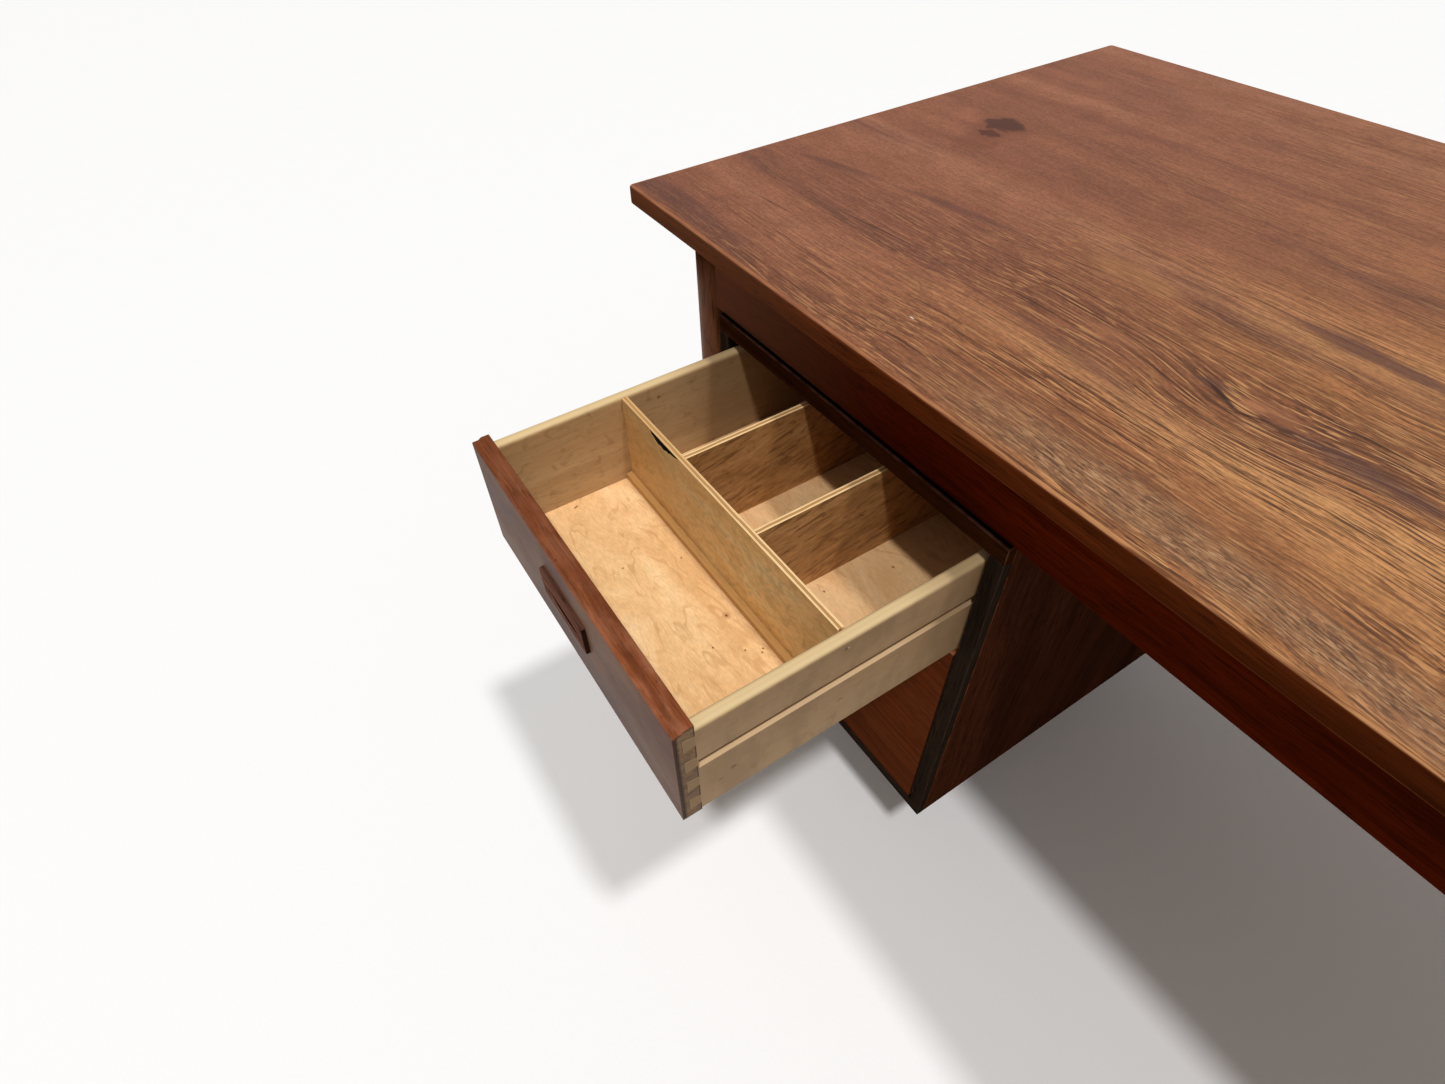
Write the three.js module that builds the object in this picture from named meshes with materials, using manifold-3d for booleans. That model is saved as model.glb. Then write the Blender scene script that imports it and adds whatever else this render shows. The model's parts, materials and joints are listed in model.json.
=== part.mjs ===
// A free-standing teak writing desk: a lipped top on four round tapered legs, and a two-drawer
// pedestal that hangs under the left half. The upper drawer is pulled open and shows its dividers.
// Units are millimetres, +X runs along the desk, +Y to the back, +Z up, and the floor is at Z = 0.

import * as THREE from "three";
import { mergeVertices } from "three/addons/utils/BufferGeometryUtils.js";
import Module from "manifold-3d";

const wasm = await Module();
wasm.setup();

// ---- driving dimensions ---------------------------------------------------------------------

const deskLength = 1500;
const deskDepth = 750;
const deskHeight = 730;

const glueLine = 0.1; // between flat faces that are glued or screwed together
const cutGap = 0.3; // round a piece that is let into another
const beyond = 1; // how far a cutter runs past the face it cuts
const rootOverlap = 2; // how far a tenon's block reaches back into its rail
const weldDistance = 1e-4; // vertices closer than this are one

const topThickness = 20;
const topArris = 3; // rounding of the top's long edges
const topCorner = 5; // rounding of its corners in plan
const lippingWidth = 4;

const legInsetX = 109; // leg centre from the end of the top
const legInsetY = 38; // leg centre from the front or back edge
const legTopRadius = 21.5;
const legFootRadius = 14.3;
const legFootChamfer = 1.5;

const apronSetback = 25; // outer face of the long aprons behind the top's edge
const apronThickness = 20;
const sideApronInset = 2; // side apron's centre line inside the leg's
const apronDrop = 69; // height of the aprons
const tenonThickness = 12;
const tenonHeight = 44;
const longTenonLength = 16;
const sideTenonLength = 12;
const crossRailWidth = 25;
const crossRailHeight = 40;
const stubTenonLength = 8;
const stubTenonHeight = 24;
const middleRailX = 1000;

const pedestalLeft = 139.5;
const pedestalWidth = 397;
const pedestalHeight = 454;
const pedestalFront = 20; // front face behind the top's front edge
const pedestalDepth = 590;
const panelThickness = 15;
const frameDepth = 10; // black lipping on the carcase's front edges
const frameTopHeight = 19;
const frameChamfer = 1; // on the level strips' front edges
const backPanelThickness = 8;
const backPanelSetback = 4;
const hangerRailInset = 48; // hanger rail centre from the pedestal's side
const screwRadius = 2.5;
const screwLength = 42;
const screwHeadRadius = 5.5;
const screwHeadHeight = 4;
const screwInsetY = 130; // from the pedestal's front and back

const drawerWidth = 361;
const drawerLength = 540;
const drawerPull = 280.5; // how far the upper drawer stands open
const drawerGap = 2.5; // between the two drawer fronts, and below the lower one
const upperFrontTopGap = 4;
const upperFrontHeight = 126;
const sideThickness = 12;
const sideTopRadius = 5;
const sideDropBelowFront = 7; // side's top edge below the front's top edge
const sideRiseAboveFront = 3; // side's bottom edge above the front's bottom edge
const faceThickness = 2.2; // teak face glued on the core
const capThickness = 2; // teak strip over the core's top edge
const frontThickness = 17;
const capStepRise = 2; // rear half of the front's top edge stands above the front half
const capNose = 1; // chamfer on the cap's front and rear edges
const capStepHalfWidth = 1; // the step rises this far to each side of the middle
const capHollowWidth = 2; // shallow ramp in front of the step
const capHollowRise = 0.67;
const tailLength = 10;
const tailNeck = 12;
const tailWidth = 16;
const tailPitch = 29;
const backThickness = 12;
const backInset = 12; // drawer back in front of the sides' rear ends
const backDropBelowFront = 14; // back's top edge below the front's top edge
const dadoDepth = 5;
const bottomThickness = 5;
const bottomRise = 11.6; // underside of the drawer bottom above the front's bottom edge
const bottomGrooveDepth = 4.5;
const runnerGrooveHeight = 11;
const runnerGrooveRise = 10; // groove centre above the middle of the side
const runnerGrooveDepth = 6;
const runnerClearance = 0.5;
const runnerSetback = 20; // runner's front end behind the pedestal's front

const dividerThickness = 6;
const longDividerFromFace = 147; // divider's front face behind the drawer's front face
const dividerDropBelowSide = 1;
const compartmentWidth = 106.5; // first two compartments, the third takes what is left
const battenWidth = 7;
const battenHeight = 7;

const pullLength = 80;
const pullHeight = 32;
const pullProud = 4;
const pullLetIn = 10;
const pullBelowTop = 39.2; // pull's top edge below the front's top edge
const pullCorner = 2;
const pullArris = 0.5;
const scoopHalfLength = 35;
const scoopBelowTop = 14; // tips of the scoop below the pull's top edge
const scoopDrop = 15; // from its tips to its lowest point
const scoopArch = 1.5; // from its tips up to the middle of the lip
const scoopDepth = 9;
const scoopTilt = 0.4; // radians, so that the scoop rises behind the lip

const legSegments = 40;
const screwSegments = 16;
const arrisSegments = 4;
const sideTopSegments = 6;
const scoopSegments = 12;

// ---- sizes worked out from them --------------------------------------------------------------

const topUnderside = deskHeight - topThickness;
const apronBottom = topUnderside - apronDrop;
const apronTop = topUnderside - glueLine;
const tenonTop = topUnderside - (apronDrop - tenonHeight) / 2;
const pedestalTop = apronBottom - glueLine;
const pedestalBottom = pedestalTop - pedestalHeight;
const pedestalRight = pedestalLeft + pedestalWidth;
const pedestalBack = pedestalFront + pedestalDepth;
const carcaseFront = pedestalFront + frameDepth;
const openingLeft = pedestalLeft + panelThickness;
const openingRight = pedestalRight - panelThickness;
const openingTop = pedestalTop - frameTopHeight;
const openingBottom = pedestalBottom + panelThickness;
const drawerLeft = (openingLeft + openingRight - drawerWidth) / 2;
const upperDrawerBottom = openingTop - upperFrontTopGap - upperFrontHeight;
const lowerDrawerBottom = openingBottom + drawerGap;
const lowerFrontHeight = upperDrawerBottom - drawerGap - lowerDrawerBottom;
const openDrawerFront = pedestalFront - drawerPull;
const crossRailBottom = apronBottom;
const backFace = drawerLength - backInset - backThickness; // drawer back's front face
const hangerRailXs = [pedestalLeft + hangerRailInset, pedestalRight - hangerRailInset];

// ---- materials -------------------------------------------------------------------------------

function wood(color, roughness) {
  return new THREE.MeshStandardMaterial({ color, roughness, metalness: 0 });
}

const teak = wood(0x9a6238, 0.5);
const darkTeak = wood(0x5c2e18, 0.5);
const blackLipping = wood(0x2c2827, 0.55);
const beech = wood(0xe3c48d, 0.55);
const birchPly = wood(0xe0be88, 0.6);
const frontCore = wood(0x8a6c44, 0.65);
const softwood = wood(0xc9a26b, 0.7);
const steel = new THREE.MeshStandardMaterial({ color: 0x9a9c9e, roughness: 0.35, metalness: 1 });

// ---- solids ----------------------------------------------------------------------------------

function solidOf(geometry) {
  const bare = geometry.clone();
  bare.deleteAttribute("normal");
  bare.deleteAttribute("uv");
  const merged = mergeVertices(bare, weldDistance);
  const vertProperties = new Float32Array(merged.attributes.position.array);
  const triVerts = new Uint32Array(merged.index.array);
  return new wasm.Manifold(new wasm.Mesh({ numProp: 3, vertProperties, triVerts }));
}

function geometryOf(solid) {
  const mesh = solid.getMesh();
  const geometry = new THREE.BufferGeometry();
  geometry.setAttribute("position", new THREE.BufferAttribute(mesh.vertProperties, 3));
  geometry.setIndex(new THREE.BufferAttribute(mesh.triVerts, 1));
  geometry.computeVertexNormals();
  return geometry;
}

// A block between two corners.
function block(x0, x1, y0, y1, z0, z1) {
  const geometry = new THREE.BoxGeometry(x1 - x0, y1 - y0, z1 - z0);
  geometry.translate((x0 + x1) / 2, (y0 + y1) / 2, (z0 + z1) / 2);
  return solidOf(geometry);
}

function shapeOf(points) {
  return new THREE.Shape(points.map(([u, v]) => new THREE.Vector2(u, v)));
}

// An outline in X and Y, carried up from z0 to z1.
function prismUp(shape, z0, z1) {
  const geometry = new THREE.ExtrudeGeometry(shape, { depth: z1 - z0, bevelEnabled: false });
  geometry.translate(0, 0, z0);
  return solidOf(geometry);
}

// An outline in Y and Z, carried along X from x0 to x1.
function prismAlong(shape, x0, x1) {
  const geometry = new THREE.ExtrudeGeometry(shape, { depth: x1 - x0, bevelEnabled: false });
  geometry.applyMatrix4(
    new THREE.Matrix4().makeBasis(
      new THREE.Vector3(0, 1, 0),
      new THREE.Vector3(0, 0, 1),
      new THREE.Vector3(1, 0, 0),
    ),
  );
  geometry.translate(x0, 0, 0);
  return solidOf(geometry);
}

function roundedRectangle(x0, x1, y0, y1, radius) {
  const shape = new THREE.Shape();
  shape.moveTo(x0 + radius, y0);
  shape.lineTo(x1 - radius, y0);
  shape.absarc(x1 - radius, y0 + radius, radius, -Math.PI / 2, 0);
  shape.lineTo(x1, y1 - radius);
  shape.absarc(x1 - radius, y1 - radius, radius, 0, Math.PI / 2);
  shape.lineTo(x0 + radius, y1);
  shape.absarc(x0 + radius, y1 - radius, radius, Math.PI / 2, Math.PI);
  shape.lineTo(x0, y0 + radius);
  shape.absarc(x0 + radius, y0 + radius, radius, Math.PI, Math.PI * 1.5);
  return shape;
}

function addPiece(group, name, solid, material) {
  const mesh = new THREE.Mesh(geometryOf(solid), material);
  mesh.name = name;
  group.add(mesh);
}

// ---- the lipped top ---------------------------------------------------------------------------

// The whole slab with its rounded arrises, before it is parted into panel and lippings.
function wholeTop() {
  const inner = roundedRectangle(
    topArris,
    deskLength - topArris,
    topArris,
    deskDepth - topArris,
    topCorner - topArris,
  );
  const geometry = new THREE.ExtrudeGeometry(inner, {
    depth: topThickness - 2 * topArris,
    bevelEnabled: true,
    bevelSize: topArris,
    bevelThickness: topArris,
    bevelSegments: arrisSegments,
    curveSegments: arrisSegments,
  });
  geometry.translate(0, 0, topUnderside + topArris);
  return solidOf(geometry);
}

// The mitred region of the slab that one lipping takes, as an outline in X and Y.
function mitreRegion(side) {
  const reach = deskDepth / 2;
  const gap = glueLine;
  const regions = {
    front: [
      [gap, 0],
      [deskLength - gap, 0],
      [deskLength - reach, reach - gap],
      [reach, reach - gap],
    ],
    back: [
      [deskLength - gap, deskDepth],
      [gap, deskDepth],
      [reach, deskDepth - reach + gap],
      [deskLength - reach, deskDepth - reach + gap],
    ],
    left: [
      [0, deskDepth - gap],
      [0, gap],
      [reach - gap, reach],
    ],
    right: [
      [deskLength, gap],
      [deskLength, deskDepth - gap],
      [deskLength - reach + gap, reach],
    ],
  };
  return shapeOf(regions[side]);
}

function makeTop(group) {
  const slab = wholeTop();
  const low = topUnderside - beyond;
  const high = deskHeight + beyond;
  const insideOf = (margin) =>
    block(margin, deskLength - margin, margin, deskDepth - margin, low, high);
  addPiece(group, "top_panel", slab.intersect(insideOf(lippingWidth + glueLine)), teak);

  const rim = slab.subtract(insideOf(lippingWidth));
  for (const side of ["front", "back", "left", "right"]) {
    const lipping = rim.intersect(prismUp(mitreRegion(side), low, high));
    addPiece(group, `top_lipping_${side}`, lipping, teak);
  }
}

// ---- legs and aprons --------------------------------------------------------------------------

const legPlaces = [
  { name: "front_left", x: legInsetX, y: legInsetY, inX: 1, inY: 1 },
  { name: "front_right", x: deskLength - legInsetX, y: legInsetY, inX: -1, inY: 1 },
  { name: "back_left", x: legInsetX, y: deskDepth - legInsetY, inX: 1, inY: -1 },
  { name: "back_right", x: deskLength - legInsetX, y: deskDepth - legInsetY, inX: -1, inY: -1 },
];

// Centre line of the long aprons, measured from the leg centres towards the inside of the desk.
const longApronInset = apronSetback + apronThickness / 2 - legInsetY;

function legSolid(place, swell) {
  const profile = [
    new THREE.Vector2(0, 0),
    new THREE.Vector2(legFootRadius - legFootChamfer + swell, 0),
    new THREE.Vector2(legFootRadius + swell, legFootChamfer),
    new THREE.Vector2(legTopRadius + swell, topUnderside - glueLine),
    new THREE.Vector2(0, topUnderside - glueLine),
  ];
  const geometry = new THREE.LatheGeometry(profile, legSegments);
  geometry.rotateX(Math.PI / 2);
  geometry.translate(place.x, place.y, 0);
  return solidOf(geometry);
}

// A block that may be given with its ends in either order.
function spanBlock(xa, xb, ya, yb, za, zb) {
  return block(
    Math.min(xa, xb),
    Math.max(xa, xb),
    Math.min(ya, yb),
    Math.max(ya, yb),
    Math.min(za, zb),
    Math.max(za, zb),
  );
}

// The tenon of the long apron inside a leg, or the mortise for it when there is play.
function longTenon(place, play) {
  const surface = place.x + place.inX * legTopRadius;
  const tip = surface - place.inX * (longTenonLength + play);
  const centre = place.y + place.inY * longApronInset;
  const half = tenonThickness / 2 + play;
  return spanBlock(
    surface + place.inX * rootOverlap,
    tip,
    centre - half,
    centre + half,
    tenonTop - tenonHeight - play,
    tenonTop + play,
  );
}

function sideTenon(place, play) {
  const surface = place.y + place.inY * legTopRadius;
  const tip = surface - place.inY * (sideTenonLength + play);
  const centre = place.x + place.inX * sideApronInset;
  const half = tenonThickness / 2 + play;
  return spanBlock(
    centre - half,
    centre + half,
    surface + place.inY * rootOverlap,
    tip,
    tenonTop - tenonHeight - play,
    tenonTop + play,
  );
}

function makeLegs(group) {
  for (const place of legPlaces) {
    const leg = legSolid(place, 0)
      .subtract(longTenon(place, cutGap))
      .subtract(sideTenon(place, cutGap));
    addPiece(group, `leg_${place.name}`, leg, darkTeak);
  }
}

// Cross rails run from the front apron to the back one, with stub tenons in both.
const crossRailXs = [...hangerRailXs, middleRailX];
const apronInnerFront = apronSetback + apronThickness;
const apronInnerBack = deskDepth - apronInnerFront;

function stubTenons(x, play) {
  const half = tenonThickness / 2 + play;
  const middle = crossRailBottom + crossRailHeight / 2;
  const low = middle - stubTenonHeight / 2 - play;
  const high = middle + stubTenonHeight / 2 + play;
  const reach = stubTenonLength + play;
  const tenonBetween = (y0, y1) => block(x - half, x + half, y0, y1, low, high);
  return tenonBetween(apronInnerFront - reach, apronInnerFront + rootOverlap).add(
    tenonBetween(apronInnerBack - rootOverlap, apronInnerBack + reach),
  );
}

function makeLongApron(group, side) {
  const ends = legPlaces.filter((place) => place.name.startsWith(side));
  const centre = ends[0].y + ends[0].inY * longApronInset;
  let apron = block(
    legInsetX,
    deskLength - legInsetX,
    centre - apronThickness / 2,
    centre + apronThickness / 2,
    apronBottom,
    apronTop,
  );
  for (const place of ends) {
    apron = apron.subtract(legSolid(place, cutGap)).add(longTenon(place, 0));
  }
  for (const x of crossRailXs) {
    apron = apron.subtract(stubTenons(x, cutGap));
  }
  addPiece(group, `apron_${side}`, apron, darkTeak);
}

function makeSideApron(group, side) {
  const ends = legPlaces.filter((place) => place.name.endsWith(side));
  const centre = ends[0].x + ends[0].inX * sideApronInset;
  let apron = block(
    centre - apronThickness / 2,
    centre + apronThickness / 2,
    legInsetY,
    deskDepth - legInsetY,
    apronBottom,
    apronTop,
  );
  for (const place of ends) {
    apron = apron.subtract(legSolid(place, cutGap)).add(sideTenon(place, 0));
  }
  addPiece(group, `apron_${side}`, apron, darkTeak);
}

function makeCrossRails(group) {
  const names = ["hanger_rail_left", "hanger_rail_right", "cross_rail_middle"];
  crossRailXs.forEach((x, index) => {
    let rail = block(
      x - crossRailWidth / 2,
      x + crossRailWidth / 2,
      apronInnerFront + glueLine,
      apronInnerBack - glueLine,
      crossRailBottom,
      crossRailBottom + crossRailHeight,
    ).add(stubTenons(x, 0));
    if (hangerRailXs.includes(x)) {
      rail = rail.subtract(screwHoles(x));
    }
    addPiece(group, names[index], rail, softwood);
  });
}

// ---- the pedestal -----------------------------------------------------------------------------

const screwYs = [pedestalFront + screwInsetY, pedestalBack - screwInsetY];
const screwHeadTop = pedestalTop - panelThickness - glueLine;

function cylinder(radius, x, y, z0, z1) {
  const geometry = new THREE.CylinderGeometry(radius, radius, z1 - z0, screwSegments);
  geometry.rotateX(Math.PI / 2);
  geometry.translate(x, y, (z0 + z1) / 2);
  return solidOf(geometry);
}

function screwHoles(x) {
  const reach = screwHeadTop + screwLength + cutGap;
  const holes = screwYs.map((y) =>
    cylinder(screwRadius + cutGap, x, y, screwHeadTop - beyond, reach),
  );
  return holes[0].add(holes[1]);
}

function makeHangerScrews(group) {
  const sides = ["left", "right"];
  const ends = ["front", "back"];
  hangerRailXs.forEach((x, column) => {
    screwYs.forEach((y, row) => {
      const shank = cylinder(screwRadius, x, y, screwHeadTop - beyond, screwHeadTop + screwLength);
      const head = cylinder(screwHeadRadius, x, y, screwHeadTop - screwHeadHeight, screwHeadTop);
      addPiece(group, `hanger_screw_${sides[column]}_${ends[row]}`, head.add(shank), steel);
    });
  });
}

function makeCarcase(group) {
  const front = carcaseFront + glueLine;
  const insideLeft = openingLeft + glueLine;
  const insideRight = openingRight - glueLine;
  const left = block(pedestalLeft, openingLeft, front, pedestalBack, pedestalBottom, pedestalTop);
  const right = block(openingRight, pedestalRight, front, pedestalBack, pedestalBottom, pedestalTop);
  addPiece(group, "carcase_side_left", left, darkTeak);
  addPiece(group, "carcase_side_right", right, darkTeak);

  let top = block(
    insideLeft,
    insideRight,
    front,
    pedestalBack - backPanelSetback,
    pedestalTop - panelThickness,
    pedestalTop,
  );
  for (const x of hangerRailXs) {
    top = top.subtract(screwHoles(x));
  }
  addPiece(group, "carcase_top", top, softwood);

  const bottom = block(
    insideLeft,
    insideRight,
    front,
    pedestalBack - backPanelSetback,
    pedestalBottom,
    openingBottom,
  );
  addPiece(group, "carcase_bottom", bottom, darkTeak);

  const backEnd = pedestalBack - backPanelSetback;
  const back = block(
    insideLeft,
    insideRight,
    backEnd - backPanelThickness,
    backEnd,
    openingBottom + glueLine,
    pedestalTop - panelThickness - glueLine,
  );
  addPiece(group, "carcase_back", back, darkTeak);
}

// Four black strips on the carcase's front edges, the upright ones between the level ones.
function makeFrontFrame(group) {
  const outline = (z0, z1) =>
    shapeOf([
      [pedestalFront + frameChamfer, z0],
      [carcaseFront, z0],
      [carcaseFront, z1],
      [pedestalFront + frameChamfer, z1],
      [pedestalFront, z1 - frameChamfer],
      [pedestalFront, z0 + frameChamfer],
    ]);
  const level = (z0, z1) => prismAlong(outline(z0, z1), pedestalLeft, pedestalRight);
  addPiece(group, "frame_strip_top", level(openingTop, pedestalTop), blackLipping);
  addPiece(group, "frame_strip_bottom", level(pedestalBottom, openingBottom), blackLipping);

  const low = openingBottom + glueLine;
  const high = openingTop - glueLine;
  const left = block(pedestalLeft, openingLeft, pedestalFront, carcaseFront, low, high);
  const right = block(openingRight, pedestalRight, pedestalFront, carcaseFront, low, high);
  addPiece(group, "frame_strip_left", left, blackLipping);
  addPiece(group, "frame_strip_right", right, blackLipping);
}

// A pair of wooden strips screwed inside the carcase, on which a drawer's grooved sides slide.
function makeRunners(group, drawerName, grooveMiddle) {
  const reach = drawerLeft + runnerGrooveDepth - runnerClearance - openingLeft;
  const half = runnerGrooveHeight / 2 - runnerClearance;
  const front = pedestalFront + runnerSetback;
  const back = pedestalFront + drawerLength + runnerSetback;
  const left = block(
    openingLeft + glueLine,
    openingLeft + reach,
    front,
    back,
    grooveMiddle - half,
    grooveMiddle + half,
  );
  const right = block(
    openingRight - reach,
    openingRight - glueLine,
    front,
    back,
    grooveMiddle - half,
    grooveMiddle + half,
  );
  addPiece(group, `runner_${drawerName}_left`, left, beech);
  addPiece(group, `runner_${drawerName}_right`, right, beech);
}

// ---- drawers ----------------------------------------------------------------------------------
// A drawer is built from its front's lower left corner: x across, y to the back, z up.

// Top edge of the front in Y and Z: low at the front, a hollow, then a step up to the back half.
function topEdgeProfile(height, drop) {
  const low = height - capStepRise - drop;
  const high = height - drop;
  const half = frontThickness / 2;
  return [
    [0, low - capNose],
    [capNose, low],
    [half - capStepHalfWidth - capHollowWidth, low],
    [half - capStepHalfWidth, low + capHollowRise],
    [half + capStepHalfWidth, high],
    [frontThickness - capNose, high],
    [frontThickness, high - capNose],
  ];
}

function makeCap(group, name, height) {
  const upper = topEdgeProfile(height, 0);
  const lower = topEdgeProfile(height, capThickness).reverse();
  const cap = prismAlong(shapeOf([...lower, ...upper]), 0, drawerWidth);
  addPiece(group, `${name}_front_cap`, cap, teak);
}

// The outline of the side's tails, as one wedge per tail, in Y and Z.
function tailWedges(zones, play) {
  return zones.map((middle) =>
    shapeOf([
      [frontThickness + beyond, middle - tailNeck / 2 - play],
      [frontThickness + beyond, middle + tailNeck / 2 + play],
      [frontThickness, middle + tailNeck / 2 + play],
      [frontThickness - tailLength - play, middle + tailWidth / 2 + play],
      [frontThickness - tailLength - play, middle - tailWidth / 2 - play],
      [frontThickness, middle - tailNeck / 2 - play],
    ]),
  );
}

function pullPocket(height, play) {
  const middle = drawerWidth / 2;
  const high = height - pullBelowTop;
  return block(
    middle - pullLength / 2 - play,
    middle + pullLength / 2 + play,
    -beyond,
    pullLetIn + play,
    high - pullHeight - play,
    high + play,
  );
}

function makeFront(group, name, height, tailZones) {
  const top = topEdgeProfile(height, capThickness + glueLine);
  const coreStart = faceThickness + glueLine;
  const faceTop = top[1][1];
  const slabOutline = [[0, 0], ...top, [frontThickness, 0]].reverse();
  const slab = prismAlong(shapeOf(slabOutline), 0, drawerWidth);

  const left = -beyond;
  const right = drawerWidth + beyond;
  let core = slab.intersect(block(left, right, coreStart, frontThickness + beyond, -beyond, height));
  for (const wedge of tailWedges(tailZones, cutGap)) {
    core = core.subtract(prismAlong(wedge, left, sideThickness + cutGap));
    core = core.subtract(prismAlong(wedge, drawerWidth - sideThickness - cutGap, right));
  }
  const bottomGroove = block(
    sideThickness,
    drawerWidth - sideThickness,
    frontThickness - bottomGrooveDepth - cutGap,
    frontThickness + beyond,
    bottomRise - cutGap,
    bottomRise + bottomThickness + cutGap,
  );
  core = core.subtract(bottomGroove).subtract(pullPocket(height, cutGap));
  addPiece(group, `${name}_front_core`, core, frontCore);

  const face = slab
    .intersect(block(left, right, -beyond, faceThickness, -beyond, faceTop))
    .subtract(pullPocket(height, cutGap));
  addPiece(group, `${name}_front_face`, face, teak);
  makeCap(group, name, height);
}

// A teak block let into the front, with a finger scoop that rises behind its upper lip.
function makePull(group, name, height) {
  const middle = drawerWidth / 2;
  const high = height - pullBelowTop;
  const outline = roundedRectangle(
    middle - pullLength / 2,
    middle + pullLength / 2,
    high - pullHeight,
    high,
    pullCorner,
  );
  const bodyGeometry = new THREE.ExtrudeGeometry(outline, {
    depth: pullProud + pullLetIn - 2 * pullArris,
    bevelEnabled: true,
    bevelSize: 0,
    bevelThickness: pullArris,
    bevelSegments: 1,
    curveSegments: arrisSegments,
  });
  bodyGeometry.rotateX(Math.PI / 2);
  bodyGeometry.translate(0, pullLetIn - pullArris, 0);
  const body = solidOf(bodyGeometry);

  const lens = new THREE.Shape();
  lens.moveTo(-scoopHalfLength, 0);
  lens.quadraticCurveTo(0, -2 * scoopDrop, scoopHalfLength, 0);
  lens.quadraticCurveTo(0, 2 * scoopArch, -scoopHalfLength, 0);
  const lensGeometry = new THREE.ExtrudeGeometry(lens, {
    depth: scoopDepth * 2,
    bevelEnabled: false,
    curveSegments: scoopSegments,
  });
  lensGeometry.translate(0, 0, -scoopDepth);
  lensGeometry.rotateX(Math.PI / 2 + scoopTilt);
  lensGeometry.translate(middle, -pullProud, high - scoopBelowTop);
  addPiece(group, `${name}_pull`, body.subtract(solidOf(lensGeometry)), teak);
}

function sideOutline(low, high, length) {
  const outline = new THREE.Shape();
  outline.moveTo(0, low);
  outline.lineTo(sideThickness, low);
  outline.lineTo(sideThickness, high - sideTopRadius);
  outline.absarc(sideThickness - sideTopRadius, high - sideTopRadius, sideTopRadius, 0, Math.PI / 2);
  outline.lineTo(sideTopRadius, high);
  outline.absarc(sideTopRadius, high - sideTopRadius, sideTopRadius, Math.PI / 2, Math.PI);
  const geometry = new THREE.ExtrudeGeometry(outline, {
    depth: length,
    bevelEnabled: false,
    curveSegments: sideTopSegments,
  });
  geometry.rotateX(Math.PI / 2);
  return solidOf(geometry.translate(0, length, 0));
}

// The middle of a side's height, above the bottom edge of its drawer's front.
function sideMiddleOf(frontHeight) {
  return (sideRiseAboveFront + frontHeight - sideDropBelowFront) / 2;
}

// One grooved side, as the left one; the right one is its mirror image.
function makeSides(group, name, height, tailZones) {
  const low = sideRiseAboveFront;
  const high = height - sideDropBelowFront;
  const grooveMiddle = sideMiddleOf(height) + runnerGrooveRise;
  const start = frontThickness + glueLine;
  let side = sideOutline(low, high, drawerLength - start).translate([0, start, 0]);
  for (const wedge of tailWedges(tailZones, 0)) {
    side = side.add(prismAlong(wedge, 0, sideThickness));
  }
  const runnerGroove = block(
    -beyond,
    runnerGrooveDepth,
    frontThickness + beyond,
    drawerLength + beyond,
    grooveMiddle - runnerGrooveHeight / 2,
    grooveMiddle + runnerGrooveHeight / 2,
  );
  const bottomGroove = block(
    sideThickness - bottomGrooveDepth - cutGap,
    sideThickness + beyond,
    frontThickness - beyond,
    drawerLength + beyond,
    bottomRise - cutGap,
    bottomRise + bottomThickness + cutGap,
  );
  const dado = block(
    sideThickness - dadoDepth - cutGap,
    sideThickness + beyond,
    backFace - cutGap,
    drawerLength - backInset + cutGap,
    bottomRise + bottomThickness,
    high + beyond,
  );
  side = side.subtract(runnerGroove).subtract(bottomGroove).subtract(dado);
  addPiece(group, `${name}_side_left`, side, beech);
  const mirrored = side.mirror([1, 0, 0]).translate([drawerWidth, 0, 0]);
  addPiece(group, `${name}_side_right`, mirrored, beech);
}

function makeBackAndBottom(group, name, height) {
  const back = block(
    sideThickness - dadoDepth,
    drawerWidth - sideThickness + dadoDepth,
    backFace,
    drawerLength - backInset,
    bottomRise + bottomThickness + cutGap,
    height - backDropBelowFront,
  );
  addPiece(group, `${name}_back`, back, beech);

  const bottomTop = bottomRise + bottomThickness;
  const sheet = block(
    sideThickness - bottomGrooveDepth,
    drawerWidth - sideThickness + bottomGrooveDepth,
    frontThickness + cutGap,
    drawerLength - backInset,
    bottomRise,
    bottomTop,
  );
  const tongue = block(
    sideThickness + cutGap,
    drawerWidth - sideThickness - cutGap,
    frontThickness - bottomGrooveDepth,
    frontThickness + beyond,
    bottomRise,
    bottomTop,
  );
  addPiece(group, `${name}_bottom`, sheet.add(tongue), birchPly);
}

// Plywood dividers: one across the drawer, then two that run from it to the drawer's back.
function makeDividers(group, name, height) {
  const floor = bottomRise + bottomThickness + glueLine;
  const top = height - sideDropBelowFront - dividerDropBelowSide;
  const left = sideThickness + cutGap;
  const right = drawerWidth - sideThickness - cutGap;
  const face = longDividerFromFace;
  const rear = face + dividerThickness;
  const long = block(left, right, face, rear, floor, top);
  addPiece(group, `${name}_divider_long`, long, birchPly);

  const battenBack = face - glueLine;
  const battenFront = battenBack - battenWidth;
  const batten = block(left, right, battenFront, battenBack, floor, floor + battenHeight);
  addPiece(group, `${name}_divider_batten`, batten, beech);

  for (const index of [1, 2]) {
    const x = sideThickness + index * compartmentWidth + (index - 1) * dividerThickness;
    const short = block(x, x + dividerThickness, rear + glueLine, backFace - glueLine, floor, top);
    addPiece(group, `${name}_divider_short_${index}`, short, birchPly);
  }
}

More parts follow.
